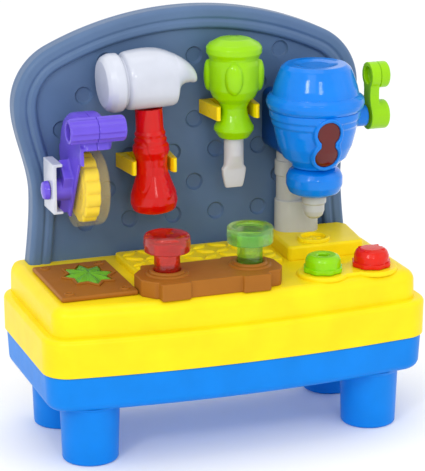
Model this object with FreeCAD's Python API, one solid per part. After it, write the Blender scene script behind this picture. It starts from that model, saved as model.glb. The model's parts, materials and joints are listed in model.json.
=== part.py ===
import FreeCAD, Part
import math
import os

# Toy tool bench: a legged two-tier bench with a back panel that holds a hammer, a screwdriver,
# a circular saw and a hand-cranked drill.  Millimetres.  X runs right, Y runs back, Z runs up.
# The origin is on the floor, under the middle of the bench.

V = FreeCAD.Vector

# ---- driving dimensions -------------------------------------------------------------------
bench_width = 320.0
bench_front = -66.5
bench_back = 78.5
front_bow = 12.0
front_corner_radius = 22.0
back_corner_radius = 15.0
wall = 2.5
clearance = 0.35

foot_height = 48.0
seam_height = 78.0
step_height = 108.0
deck_height = 131.0
deck_thickness = 3.0
tray_inset = 2.0
tier_inset = 8.0

leg_x = 119.0
leg_front_y = -37.0
leg_rear_y = 47.0
leg_top_radius = 24.0
leg_foot_radius = 22.2

panel_front = 60.0
panel_field = 65.0
panel_split = 72.0
panel_rim_width = 20.0
panel_top = 334.5
panel_corner_x = 95.5
panel_corner_z = 260.5
panel_corner_radius = 52.5
panel_corner_angle = 26.0
panel_waist_x = 134.5
panel_waist_z = 188.0
panel_foot_x = 139.0

dimple_radius = 7.2
dimple_depth = 1.5
dimple_pitch_x = 37.5
dimple_pitch_z = 26.5
dimple_first_z = 161.0
dimple_centre_x = 4.0

plate_x = (-141.5, -79.5)
plate_y = (-43.0, 44.0)
plate_thickness = 4.0
star_centre = (-105.5, 7.0)
star_outer = 20.0
star_inner = 14.0
star_stretch = 1.35
star_points = 8

beam_y = -38.0
beam_height = 13.3
peg_y = -36.0
red_peg_x = -54.0
green_peg_x = 15.0
peg_head_bottom = 162.5
peg_head_height = 13.5
peg_head_radius = 18.5
peg_shank_radius = 10.3
peg_bottom = 108.3
rocker_z = 103.0
rocker_pad_radius = 5.0
rocker_pin_radius = 2.0

nut_boss_height = 3.0
green_nut_at = (75.0, -42.0)
red_nut_at = (117.5, -41.0)
nut_flange_radius = 16.0
nut_stem_radius = 5.0

platform_height = 12.0
tread_height = 5.0

drill_x = 90.5
drill_y = 15.5
column_x = 82.5
column_y = 51.5
column_radius = 10.6
coupling_radius = 11.8
crank_z = 244.3
crank_offset = 33.0
crown_teeth = 20
crown_radius = 18.0
pinion_radius = 9.0

hammer_x = -44.0
hammer_y = 38.0
hammer_head_z = 283.3
hammer_head_radius = 23.8
hammer_tilt = 3.0

driver_x = 29.0
driver_y = 39.0
driver_turn = -20.0
pad_z = 281.0

saw_x = (-112.0, -86.0)
saw_split_x = -98.5
saw_body_y = 30.0
saw_body_z = 229.0
saw_body_radius = 33.0
saw_axis_y = 33.0
saw_axis_z = 200.5
saw_blade_radius = 28.0
saw_blade_x = (-107.0, -93.5)
saw_guard_radius = 31.3
saw_handle_y = 2.0
saw_handle_z = 254.0
saw_cut_z = 238.0


# ---- helpers ------------------------------------------------------------------------------
def box(x0, x1, y0, y1, z0, z1):
    return Part.makeBox(x1 - x0, y1 - y0, z1 - z0, V(x0, y0, z0))


def cyl_x(radius, x0, x1, y, z):
    return Part.makeCylinder(radius, x1 - x0, V(x0, y, z), V(1, 0, 0))


def cyl_y(radius, y0, y1, x, z):
    return Part.makeCylinder(radius, y1 - y0, V(x, y0, z), V(0, 1, 0))


def cyl_z(radius, z0, z1, x, y):
    return Part.makeCylinder(radius, z1 - z0, V(x, y, z0), V(0, 0, 1))


def cone_z(r0, r1, z0, z1, x, y):
    return Part.makeCone(r0, r1, z1 - z0, V(x, y, z0), V(0, 0, 1))


def fuse(first, *others):
    return first.multiFuse(list(others)).removeSplitter()


def cut(first, *others):
    return first.cut(list(others)) if others else first


def polygon(points):
    return Part.Face(Part.makePolygon(list(points) + [points[0]]))


def prism_z(points, z0, z1):
    return polygon([V(x, y, z0) for x, y in points]).extrude(V(0, 0, z1 - z0))


def prism_x(points, x0, x1):
    return polygon([V(x0, y, z) for y, z in points]).extrude(V(x1 - x0, 0, 0))


def prism_y(points, y0, y1):
    return polygon([V(x, y0, z) for x, z in points]).extrude(V(0, y1 - y0, 0))


def lathe_z(profile, x, y):
    """Solid of revolution about the vertical line at x, y from (radius, z) points."""
    points = [V(x + r, y, z) for r, z in profile]
    return polygon(points).revolve(V(x, y, 0), V(0, 0, 1), 360)


def lathe_x(profile, y, z):
    """Solid of revolution about the X-wise line at y, z from (radius, x) points."""
    points = [V(x, y, z + r) for r, x in profile]
    return polygon(points).revolve(V(0, y, z), V(1, 0, 0), 360)


def fillet_where(shape, radius, test):
    edges = [e for e in shape.Edges if test(e)]
    return shape.makeFillet(radius, edges) if edges else shape


def upright(edge):
    a = edge.Vertexes[0].Point
    b = edge.Vertexes[-1].Point
    return abs(a.x - b.x) < 1e-6 and abs(a.y - b.y) < 1e-6 and abs(a.z - b.z) > 1e-3


def level_at(z):
    return lambda e: all(abs(v.Point.z - z) < 1e-3 for v in e.Vertexes)


def ring_of(count, radius, cx, cy):
    """Evenly spaced points on a circle."""
    step = 2 * math.pi / count
    return [(cx + radius * math.cos(i * step), cy + radius * math.sin(i * step)) for i in range(count)]


# ---- bench outline ------------------------------------------------------------------------
def bench_block(inset, back_inset, z0, z1):
    """The bench's plan, bowed at the front and rounded at its corners, between two heights."""
    hw = bench_width / 2 - inset
    y0 = bench_front + inset
    y1 = bench_back - back_inset
    bow = Part.Arc(V(-hw, y0, z0), V(0, y0 - front_bow, z0), V(hw, y0, z0)).toShape()
    right = Part.makeLine(V(hw, y0, z0), V(hw, y1, z0))
    back = Part.makeLine(V(hw, y1, z0), V(-hw, y1, z0))
    left = Part.makeLine(V(-hw, y1, z0), V(-hw, y0, z0))
    solid = Part.Face(Part.Wire([bow, right, back, left])).extrude(V(0, 0, z1 - z0))
    solid = fillet_where(solid, front_corner_radius - inset, lambda e: upright(e) and e.BoundBox.YMax < 0)
    return fillet_where(solid, back_corner_radius - inset, lambda e: upright(e) and e.BoundBox.YMin > y1 - 1)


def leg_places():
    return {
        "leg_front_left": (-leg_x, leg_front_y),
        "leg_front_right": (leg_x, leg_front_y),
        "leg_rear_left": (-leg_x, leg_rear_y),
        "leg_rear_right": (leg_x, leg_rear_y),
    }


leg_spigot_radius = 17.0
leg_spigot_top = 56.0


def leg(x, y):
    """A hollow tapered leg with a closed foot and a spigot that plugs into the tray."""
    outer = cone_z(leg_foot_radius, leg_top_radius, 0, foot_height, x, y)
    outer = fillet_where(outer, 2.0, level_at(0))
    spigot = cyl_z(leg_spigot_radius, foot_height - wall, leg_spigot_top, x, y)
    bore = cyl_z(leg_spigot_radius - wall, wall, leg_spigot_top, x, y)
    return cut(fuse(outer, spigot), bore)


battery_x = (-24.5, 27.5)
battery_y = (-30.0, 24.0)
battery_roof = 68.0
battery_lip = 1.5
speaker_at = (-70.0, 0.0)
speaker_radius = 20.0
screw_places = [(-140, 12), (140, 12), (-60, -60), (60, -60), (-60, 62), (60, 62)]
screw_radius = 1.5
boss_radius = 4.0


def base_tray():
    """The lower shell: walls, floor, leg sockets, battery box and speaker grille."""
    outer = bench_block(tray_inset, tray_inset, foot_height, seam_height)
    outer = fillet_where(outer, 8.0, level_at(foot_height))
    inset = tray_inset + wall
    inner = bench_block(inset, inset, foot_height + wall, seam_height)
    inner = fillet_where(inner, 5.0, level_at(foot_height + wall))
    shell = cut(outer, inner)
    floor = foot_height + wall
    outer_box = box(battery_x[0] - wall, battery_x[1] + wall, battery_y[0] - wall, battery_y[1] + wall,
                    foot_height, battery_roof + wall)
    inner_box = box(*battery_x, *battery_y, foot_height, battery_roof)
    shell = cut(fuse(shell, outer_box), inner_box)
    lip = box(battery_x[0] - battery_lip, battery_x[1] + battery_lip, battery_y[0] - battery_lip,
              battery_y[1] + battery_lip, foot_height, foot_height + wall)
    shell = cut(shell, lip)
    sockets = [cyl_z(leg_spigot_radius + 0.2, foot_height, floor, x, y) for x, y in leg_places().values()]
    grille = [cyl_z(1.5, foot_height, floor, x, y)
              for r, n in ((5.5, 6), (11.0, 12)) for x, y in ring_of(n, r, *speaker_at)]
    holes = [cyl_z(screw_radius + 0.2, foot_height, floor, x, y) for x, y in screw_places]
    return cut(shell, *(sockets + grille + holes))


def battery_door():
    """The flat door under the battery box."""
    gap = clearance
    door = box(battery_x[0] - battery_lip + gap, battery_x[1] + battery_lip - gap,
               battery_y[0] - battery_lip + gap, battery_y[1] + battery_lip - gap,
               foot_height, foot_height + wall - 0.3)
    screw_hole = cyl_z(1.7, foot_height, foot_height + wall, battery_x[1] - 1.5, sum(battery_y) / 2)
    return cut(door, screw_hole)


battery_length = 50.5
battery_radius = 7.1


def batteries():
    """Three small round cells side by side."""
    x0 = battery_x[0] + 0.85
    z = foot_height + wall - 0.3 + battery_radius
    cells = []
    for i in range(3):
        y = battery_y[0] + 10.5 + i * 16.0
        body = cyl_x(battery_radius, x0, x0 + battery_length - 1.0, y, z)
        tip = cyl_x(2.7, x0 + battery_length - 1.0, x0 + battery_length, y, z)
        cells.append(fuse(body, tip))
    return Part.makeCompound(cells)


def battery_contacts():
    """Flat spring contacts at both ends of each cell."""
    pieces = []
    for i in range(3):
        y = battery_y[0] + 10.5 + i * 16.0
        for x in (battery_x[0], battery_x[1] - 0.6):
            pieces.append(box(x, x + 0.6, y - 4, y + 4, 53.5, 64.0))
    return Part.makeCompound(pieces)


def speaker():
    """A small loudspeaker that faces down through the grille."""
    x, y = speaker_at
    z = foot_height + wall
    rim = cyl_z(speaker_radius, z, z + 3.0, x, y)
    basket = cone_z(speaker_radius - 1.0, 11.0, z + 3.0, z + 9.0, x, y)
    magnet = cyl_z(11.0, z + 9.0, z + 14.0, x, y)
    return fuse(rim, basket, magnet)


def circuit_board():
    """The sound board, standing on the tray's floor on four posts."""
    z = foot_height + wall
    board = box(60, 104, -22, 28, z + 5.0, z + 6.6)
    posts = [cyl_z(2.5, z, z + 5.0, x, y) for x in (64, 100) for y in (-18, 24)]
    chips = [box(74, 90, -6, 12, z + 6.6, z + 9.0), box(66, 70, 8, 16, z + 6.6, z + 10.0)]
    return fuse(board, *(posts + chips))


def screw_up(x, y, z, length, radius, head_radius):
    """A pan-head screw whose head is at the bottom and whose shank points up."""
    head = cyl_z(head_radius, z - 1.6, z, x, y)
    head = fillet_where(head, 0.9, level_at(z - 1.6))
    slots = [box(x - 1.8, x + 1.8, y - 0.35, y + 0.35, z - 1.6, z - 0.9),
             box(x - 0.35, x + 0.35, y - 1.8, y + 1.8, z - 1.6, z - 0.9)]
    return fuse(cut(head, *slots), cyl_z(radius, z, z + length, x, y))


def case_screws():
    """Six screws that hold the tray to the bench top."""
    return Part.makeCompound([screw_up(x, y, foot_height, 14.0, screw_radius, 3.0) for x, y in screw_places])


# ---- bench top ----------------------------------------------------------------------------
platform_plan = [(62.5, 0.0), (129.0, 0.0), (135.0, 50.0), (129.0, 57.5), (66.0, 57.5)]
ring_radius = 13.2
button_well = (21.0, 28.5)


def nut_boss():
    """The raised figure of eight that both nuts stand on."""
    z = deck_height
    a = cyl_z(21.0, z - 1, z + nut_boss_height, *green_nut_at)
    b = cyl_z(21.0, z - 1, z + nut_boss_height, *red_nut_at)
    web = box(green_nut_at[0], red_nut_at[0], green_nut_at[1] - 14, green_nut_at[1] + 15,
              z - 1, z + nut_boss_height)
    return fuse(a, b, web)


def ring_target():
    """The raised ring with a cross inside, under the drill bit."""
    z = deck_height + platform_height
    ring = cut(cyl_z(ring_radius, z - 1, z + 3.0, drill_x, drill_y),
               cyl_z(ring_radius - 3.0, z, z + 3.0, drill_x, drill_y))
    bars = [box(drill_x - 6, drill_x + 6, drill_y - 1.3, drill_y + 1.3, z - 1, z + 1.4),
            box(drill_x - 1.3, drill_x + 1.3, drill_y - 6, drill_y + 6, z - 1, z + 1.4)]
    return fuse(ring, *bars)


def tread_block():
    """A raised pad with a pattern of lozenges, behind the peg beam."""
    z = deck_height
    pad = box(-68, 56, -6, 57.5, z - 1, z + tread_height)
    pad = pad.makeChamfer(1.2, [e for e in pad.Edges if level_at(z + tread_height)(e)])
    lozenges = []
    for column in range(6):
        for row in range(3):
            x = -57 + column * 20.5
            y = 5 + row * 20.0
            turn = 1 if (column + row) % 2 else -1
            long_x = 8.0
            long_y = 4.0 * turn
            side_x = 1.6 * turn
            side_y = -3.0
            plan = [(x - long_x, y - long_y), (x + side_x, y + side_y),
                    (x + long_x, y + long_y), (x - side_x, y - side_y)]
            lozenges.append(prism_z(plan, z + tread_height - 0.5, z + tread_height + 1.2))
    return fuse(pad, *lozenges)


def bench_top():
    """The upper shell: two soft tiers, the platform, the tread pad and all deck openings."""
    lower = bench_block(0, 0, seam_height, step_height)
    lower = fillet_where(lower, 7.0, lambda e: level_at(step_height)(e))
    upper = bench_block(tier_inset, 0.0, step_height - 8, deck_height)
    front_rim = lambda e: level_at(deck_height)(e) and e.BoundBox.YMin < bench_back - 1
    upper = fillet_where(upper, 9.0, front_rim)
    lower_hollow = bench_block(wall, wall, seam_height, step_height - wall - 1)
    upper_hollow = bench_block(tier_inset + wall, wall, seam_height, deck_height - deck_thickness)
    upper_hollow = fillet_where(upper_hollow, 6.0, level_at(deck_height - deck_thickness))
    platform = prism_z(platform_plan, deck_height - 1, deck_height + platform_height)
    platform = platform.makeChamfer(1.5, [e for e in platform.Edges
                                          if level_at(deck_height + platform_height)(e)])
    shell = fuse(lower, upper)
    shell = cut(shell, lower_hollow, upper_hollow)
    bosses = [cyl_z(boss_radius, foot_height + wall, deck_height - 1.5, x, y) for x, y in screw_places]
    shell = fuse(shell, platform, tread_block(), nut_boss(), ring_target(), *bosses)
    z0 = foot_height
    z1 = deck_height + platform_height
    openings = [cyl_z(screw_radius + 0.1, z0, foot_height + 18, x, y) for x, y in screw_places]
    openings += [cyl_z(peg_shank_radius + 0.7, z0 + 60, deck_height + 1, x, peg_y)
                 for x in (red_peg_x, green_peg_x)]
    openings += [cyl_z(nut_stem_radius + 0.1, z0 + 60, z1, x, y) for x, y in (green_nut_at, red_nut_at)]
    bx, by = star_centre
    openings.append(box(bx - button_well[0], bx + button_well[0], by - button_well[1], by + button_well[1],
                        z0 + 60, z1))
    openings.append(box(-112, 112, 67.5, 76.5, z0 + 60, z1 + 1))
    openings.append(cyl_z(5.0, deck_height - 5, z1, column_x, column_y - 1.5))
    return cut(shell, *openings)


# ---- back panel ---------------------------------------------------------------------------
def panel_outline(inset, y, bottom):
    """The panel's outline in the XZ plane: crowned top, round shoulders, narrow waist."""
    a = math.radians(panel_corner_angle)
    corner = panel_corner_radius - inset
    top_x = panel_corner_x + corner * math.sin(a)
    top_z = panel_corner_z + corner * math.cos(a)
    side_x = panel_corner_x + corner
    mid = math.radians((90 + panel_corner_angle) / 2)
    mid_x = panel_corner_x + corner * math.sin(mid)
    mid_z = panel_corner_z + corner * math.cos(mid)
    waist = panel_waist_x - inset
    foot = panel_foot_x - inset
    edges = [Part.Arc(V(-top_x, y, top_z), V(0, y, panel_top - inset), V(top_x, y, top_z)).toShape()]
    for s in (1, -1):
        shoulder = Part.Arc(V(s * top_x, y, top_z), V(s * mid_x, y, mid_z), V(s * side_x, y, panel_corner_z))
        flank = Part.BSplineCurve()
        flank.interpolate([V(s * side_x, y, panel_corner_z), V(s * (side_x + waist) / 2, y, 224),
                           V(s * waist, y, panel_waist_z), V(s * foot, y, bottom)],
                          InitialTangent=V(0, 0, -30), FinalTangent=V(s * 3, 0, -30))
        edges += [shoulder.toShape(), flank.toShape()]
    edges.append(Part.makeLine(V(-foot, y, bottom), V(foot, y, bottom)))
    return Part.Face(Part.Wire(Part.__sortEdges__(edges)))


def panel_block(inset, y0, y1, bottom=deck_height):
    return panel_outline(inset, y0, bottom).extrude(V(0, y1 - y0, 0))


def dimple_places():
    """Staggered rows of round dimples, short of the panel's rim."""
    places = []
    for row in range(6):
        z = dimple_first_z + row * dimple_pitch_z
        shift = 0.5 if row % 2 == 0 else 0.0
        for column in range(-4, 4):
            x = dimple_centre_x + (column + shift) * dimple_pitch_x
            limit = 104.0 if row < 5 else 84.0
            if abs(x) < limit + 12.0 * (row in (3, 4)):
                places.append((x, z))
    return places


clip_places = {"hammer_clip": (-41.3, 212.0, 14.4), "screwdriver_clip": (driver_x + 1.0, 251.0, 14.0)}
saw_hook_at = (saw_split_x, 240.0)
clip_screw_offset = 9.0


def panel_fixings():
    """Where screws from behind hold the clips, the saw hook and the drill bracket."""
    places = []
    for x, z, _ in clip_places.values():
        places += [(x - clip_screw_offset, z), (x + clip_screw_offset, z)]
    places.append(saw_hook_at)
    places += [(drill_x - 18, 245.0), (drill_x + 18, 245.0)]
    return places


def back_panel():
    """The front shell of the panel, with a raised rim round a sunk, dimpled field."""
    body = panel_block(0, panel_front, panel_split)
    rim_edges = [e for e in body.Edges if abs(e.BoundBox.YMax - panel_front) < 1e-3
                 and e.BoundBox.ZMax > deck_height + 1]
    body = body.makeFillet(6.0, rim_edges)
    sunk = panel_block(panel_rim_width, panel_front, panel_field, deck_height - 5)
    body = cut(body, sunk)
    pocket = panel_block(wall, panel_field + wall, panel_split, deck_height + wall)
    rim_pocket = cut(panel_block(wall + 2, panel_front + wall + 1, panel_split, deck_height + wall),
                     panel_block(panel_rim_width - wall, panel_front, panel_split, deck_height - 5))
    body = cut(body, pocket, rim_pocket)
    bosses = [cyl_y(3.5, panel_field + 1, panel_split, x, z) for x, z in panel_fixings()]
    bosses += [cyl_y(4.0, panel_front + 2, panel_split, x, z) for x, z in panel_screw_places]
    tongue = box(-110, 110, 68.5, panel_split, deck_height - 10, deck_height + wall + 1)
    body = fuse(body, tongue, *bosses)
    dimples = [cyl_y(dimple_radius, panel_field, panel_field + dimple_depth, x, z)
               for x, z in dimple_places()]
    holes = [cyl_y(1.4, panel_field - 1, panel_split + 1, x, z) for x, z in panel_fixings()]
    holes += [cyl_y(1.6, panel_split - 6, panel_split + 1, x, z) for x, z in panel_screw_places]
    return cut(body, *(dimples + holes))


def panel_rear_cover():
    """The shallow rear shell of the panel, with screw holes and stiffening ribs."""
    body = panel_block(0, panel_split, bench_back)
    back_edges = [e for e in body.Edges if abs(e.BoundBox.YMin - bench_back) < 1e-3
                  and e.BoundBox.ZMax > deck_height + 1]
    body = body.makeFillet(4.0, back_edges)
    body = cut(body, panel_block(wall, panel_split, bench_back - wall, deck_height + wall))
    tongue = box(-110, 110, panel_split, 75.5, deck_height - 10, deck_height + wall + 1)
    body = fuse(body, tongue)
    holes = [cyl_y(2.6, panel_split, bench_back + 1, x, z) for x, z in panel_fixings()]
    posts = [cyl_y(4.5, panel_split, bench_back - 1, x, z) for x, z in panel_screw_places]
    body = fuse(body, *posts)
    holes += [cyl_y(1.6, panel_split, bench_back + 1, x, z) for x, z in panel_screw_places]
    holes += [cyl_y(3.1, bench_back - 1.8, bench_back + 1, x, z) for x, z in panel_screw_places]
    return cut(body, *holes)


panel_screw_places = [(s * x, z) for s in (-1, 1) for x, z in ((122, 150), (124, 215), (118, 284), (45, 317))]


def panel_screws():
    """Screws round the edge of the rear cover."""
    screws = []
    for x, z in panel_screw_places:
        head = cyl_y(3.0, bench_back - 1.7, bench_back - 0.3, x, z)
        screws.append(fuse(head, cyl_y(1.5, panel_split - 5, bench_back - 1, x, z)))
    return Part.makeCompound(screws)


def clip_screws():
    """Screws behind the panel that hold the clips, the hook and the drill bracket."""
    return Part.makeCompound([fuse(cyl_y(2.4, panel_split, panel_split + 1.6, x, z),
                                   cyl_y(1.3, panel_field - 2.6, panel_split, x, z))
                              for x, z in panel_fixings()])


# ---- star button --------------------------------------------------------------------------
def star_plan(outer, inner):
    x, y = star_centre
    points = []
    for i in range(2 * star_points):
        r = outer if i % 2 == 0 else inner
        a = math.pi * i / star_points
        points.append((x + r * math.cos(a), y + star_stretch * r * math.sin(a)))
    return points


def button_plate():
    """A brown plate with corner rivets and a star-shaped window."""
    z0 = deck_height
    z1 = z0 + plate_thickness
    plate = box(*plate_x, *plate_y, z0, z1)
    plate = plate.makeChamfer(1.4, [e for e in plate.Edges if level_at(z1)(e)])
    rivets = [cut(cyl_z(4.0, z1 - 1, z1 + 0.8, x, y), cyl_z(2.2, z1, z1 + 0.8, x, y))
              for x in (plate_x[0] + 8.5, plate_x[1] - 8.5) for y in (plate_y[0] + 8.5, plate_y[1] - 8.5)]
    lip = prism_z(star_plan(star_outer + 2.2, star_inner + 2.2), z1 - 1, z1 + 1.0)
    window = prism_z(star_plan(star_outer + 0.5, star_inner + 0.5), z0 - 1, z1 + 2)
    return cut(fuse(plate, lip, *rivets), window)


button_travel = 2.5
button_flange_top = deck_height - 0.3
button_flange_bottom = deck_height - 3.3
board_top = 118.0


def star_button():
    """The star-shaped button: a ribbed star, a flange that keeps it in, and a stem."""
    x, y = star_centre
    star = prism_z(star_plan(star_outer, star_inner), button_flange_top - 0.5, deck_height + plate_thickness)
    rays = [prism_z([(x + 3 * math.cos(a - 0.4), y + 3 * math.sin(a - 0.4)),
                     (x + 14 * math.cos(a), y + 14 * star_stretch * math.sin(a)),
                     (x + 3 * math.cos(a + 0.4), y + 3 * math.sin(a + 0.4))],
                    deck_height + plate_thickness - 0.5, deck_height + plate_thickness + 0.6)
            for a in [2 * math.pi * i / star_points for i in range(star_points)]]
    half_x, half_y = button_well
    flange = box(x - half_x + 0.6, x + half_x - 0.6, y - half_y + 0.6, y + half_y - 0.6,
                 button_flange_bottom, button_flange_top)
    stem = cyl_z(3.0, board_top + 3.2, button_flange_bottom + 0.5, x, y)
    return fuse(star, flange, stem, *rays)


def button_spring():
    """The return spring round the button's stem, as a sleeve of its outer size."""
    x, y = star_centre
    z0 = board_top + 0.05
    z1 = button_flange_bottom - 0.05
    return cut(cyl_z(5.4, z0, z1, x, y), cyl_z(4.2, z0, z1, x, y))


def switch_board():
    """A small board under the star button, hung from the deck on two posts."""
    x, y = star_centre
    board = box(x - 30, x + 27, y - 10, y + 10, board_top - 1.6, board_top)
    dome = cyl_z(2.2, board_top, board_top + 0.5, x, y)
    posts = [box(px - 2, px + 2, y - 4, y + 4, board_top, deck_height - deck_thickness)
             for px in (x - 27.5, x + 24.5)]
    return fuse(board, dome, *posts)


# ---- peg beam and see-saw -----------------------------------------------------------------
def beam_plan():
    """The beam's plan: two wide collars, a narrower middle and cut-off ends."""
    mid = 25.0
    collar = 28.0
    tip = 9.0
    a = red_peg_x - 25.0
    b = red_peg_x - 14.0
    c = red_peg_x + 10.0
    d = green_peg_x - 16.0
    e = green_peg_x + 7.0
    f = green_peg_x + 23.0
    half = [(a, tip), (a + 8, mid - 6), (b, mid - 5), (b, collar), (c, collar), (c, mid),
            (d, mid), (d, collar), (e, collar), (e, mid - 4), (f - 5, mid - 6), (f, tip)]
    front = [(x, beam_y - y) for x, y in half]
    back = [(x, beam_y + y) for x, y in reversed(half)]
    return front + back


def peg_beam():
    """The brown beam with two stepped sockets that guide the pegs."""
    z0 = deck_height
    z1 = z0 + beam_height
    beam = prism_z(beam_plan(), z0, z1)
    beam = beam.makeChamfer(1.4, [e for e in beam.Edges if level_at(z1)(e)])
    collars = []
    for x in (red_peg_x, green_peg_x):
        collars.append(cone_z(19.0, 16.5, z1 - 1.5, z1 + 1.6, x, peg_y))
        collars.append(cone_z(15.0, 14.0, z1, z1 + 3.4, x, peg_y))
    beam = fuse(beam, *collars)
    bores = [cyl_z(peg_shank_radius + 0.4, z0 - 1, z1 + 5, x, peg_y) for x in (red_peg_x, green_peg_x)]
    hollow = box(red_peg_x + 17, green_peg_x - 20, beam_y - 22, beam_y + 22, z0, z1 - wall)
    return cut(beam, hollow, *bores)


def peg(x, dished):
    """A clear bolt: a broad head on a hollow shank with a stop at its foot."""
    z0 = peg_head_bottom
    z1 = z0 + peg_head_height
    r = peg_head_radius
    skirt = 2.4
    crown = [(r - 6, z1), (0, z1)] if dished else [(r - 6, z1 + 0.6), (7, z1 + 1.8), (0, z1 + 2.2)]
    head = lathe_z([(0, z0 + 11), (peg_shank_radius, z0 + 11), (r - skirt, z0 + 11), (r - skirt, z0),
                    (r, z0), (r + 0.4, z0 + 9), (r - 0.4, z1 - 3), (r - 3, z1 - 0.5)] + crown, x, peg_y)
    if dished:
        dish = lathe_z([(0, z1 - 3.0), (9.0, z1 - 3.0), (11.0, z1 + 0.1), (0, z1 + 0.1)], x, peg_y)
        head = cut(head, dish)
    shank = cyl_z(peg_shank_radius, peg_bottom, z0 + 12, x, peg_y)
    bore = cyl_z(peg_shank_radius - 2.2, peg_bottom + 2.5, z0 + 9, x, peg_y)
    stop = cyl_z(peg_shank_radius + 2.0, peg_bottom, peg_bottom + 3.0, x, peg_y)
    return cut(fuse(head, shank, stop), bore)


pivot_x = (red_peg_x + green_peg_x) / 2
rocker_arm = (green_peg_x - red_peg_x) / 2


def peg_rocker():
    """The see-saw lever: pushing one peg down lifts the other."""
    bar = box(pivot_x - rocker_arm, pivot_x + rocker_arm, peg_y - 5, peg_y + 5, rocker_z - 5, rocker_z - 0.5)
    pads = [cyl_y(rocker_pad_radius, peg_y - 7, peg_y + 7, pivot_x + s * rocker_arm, rocker_z)
            for s in (-1, 1)]
    hub = cyl_y(6.5, peg_y - 7, peg_y + 7, pivot_x, rocker_z)
    bore = cyl_y(rocker_pin_radius + 0.06, peg_y - 8, peg_y + 8, pivot_x, rocker_z)
    return cut(fuse(bar, hub, *pads), bore)


def rocker_bracket():
    """Two ears under the deck that carry the rocker's pin."""
    top = deck_height - deck_thickness
    ears = []
    for y0, y1 in ((peg_y - 11, peg_y - 8), (peg_y + 8, peg_y + 11)):
        ears.append(box(pivot_x - 6, pivot_x + 6, y0, y1, rocker_z, top))
        ears.append(cyl_y(6.0, y0, y1, pivot_x, rocker_z))
    bridge = box(pivot_x - 6, pivot_x + 6, peg_y - 11, peg_y + 11, top - 3, top)
    pin_hole = cyl_y(rocker_pin_radius + 0.02, peg_y - 12, peg_y + 12, pivot_x, rocker_z)
    return cut(fuse(bridge, *ears), pin_hole)


def rocker_pin():
    return cyl_y(rocker_pin_radius, peg_y - 11, peg_y + 11, pivot_x, rocker_z)


# ---- nuts ---------------------------------------------------------------------------------
def wavy_flange(x, y, z0, z1):
    """A nut's flange with eight soft lobes."""
    disc = cyl_z(nut_flange_radius - 1.2, z0, z1, x, y)
    lobes = [cyl_z(3.0, z0, z1, px, py) for px, py in ring_of(8, nut_flange_radius - 3.0, x, y)]
    return fuse(disc, *lobes)


def nut(at, domed):
    """A toy nut on a stem that turns in the deck."""
    x, y = at
    z0 = deck_height + nut_boss_height + clearance
    flange = wavy_flange(x, y, z0, z0 + 4.0)
    if domed:
        crown = lathe_z([(0, z0), (14.3, z0), (14.0, z0 + 9), (12.5, z0 + 12.5), (9.0, z0 + 14.5),
                         (0, z0 + 15)], x, y)
        ribs = [box(x - 9, x + 9, y + dy - 0.8, y + dy + 0.8, z0 + 12, z0 + 15.8) for dy in (-6, -2, 2, 6)]
        body = fuse(flange, crown, *ribs)
    else:
        crown = lathe_z([(0, z0), (14.3, z0), (14.0, z0 + 9.5), (12.7, z0 + 12.5), (10.8, z0 + 13.5),
                         (0, z0 + 13.5)], x, y)
        body = cut(fuse(flange, crown), cyl_z(4.2, z0 + 4, z0 + 15, x, y))
    stem = cyl_z(nut_stem_radius, 121.0, z0 + 1, x, y)
    groove = cut(cyl_z(nut_stem_radius + 1, 124.0, 126.0, x, y), cyl_z(3.6, 124.0, 126.0, x, y))
    return cut(fuse(body, stem), groove)


def nut_clip(at):
    """A snap ring under the deck that keeps a nut's stem in."""
    x, y = at
    return cut(cyl_z(8.5, 124.1, 125.9, x, y), cyl_z(3.65, 124.1, 125.9, x, y))


# ---- tool clips ---------------------------------------------------------------------------
def tool_clip(x, z, half_gap):
    """Two tapered prongs on a small back plate."""
    half = 5.8
    y_tip = 30.0
    pieces = [box(x - half_gap - 6, x + half_gap + 6, panel_field - 2.6, panel_field, z - half, z + half)]
    for s in (-1, 1):
        plan = [(x + s * half_gap, panel_field - 0.1), (x + s * half_gap, y_tip + 3),
                (x + s * (half_gap + 2), y_tip), (x + s * (half_gap + 4.5), y_tip + 2),
                (x + s * (half_gap + 8), panel_field - 0.1)]
        pieces.append(prism_z(plan, z - half, z + half))
    clip = fuse(*pieces)
    holes = [cyl_y(1.35, panel_field - 3, panel_field + 1, x + s * clip_screw_offset, z) for s in (-1, 1)]
    return cut(clip, *holes)


def saw_hook():
    """A round peg that the saw's rear socket slides onto."""
    x, z = saw_hook_at
    plate = cyl_y(9.0, panel_field - 1.2, panel_field, x, z)
    peg_body = cyl_y(4.0, 46.0, panel_field - 1.0, x, z)
    return cut(fuse(plate, peg_body), cyl_y(1.35, 52.0, panel_field + 1, x, z))


# ---- hammer -------------------------------------------------------------------------------
handle_joint_z = 259.0
hammer_neck_radius = 11.1


def tilted(shape):
    """The hammer hangs a few degrees off upright in its clip."""
    shape = shape.copy()
    shape.rotate(V(hammer_x, hammer_y, handle_joint_z), V(0, 1, 0), -hammer_tilt)
    return shape


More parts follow.
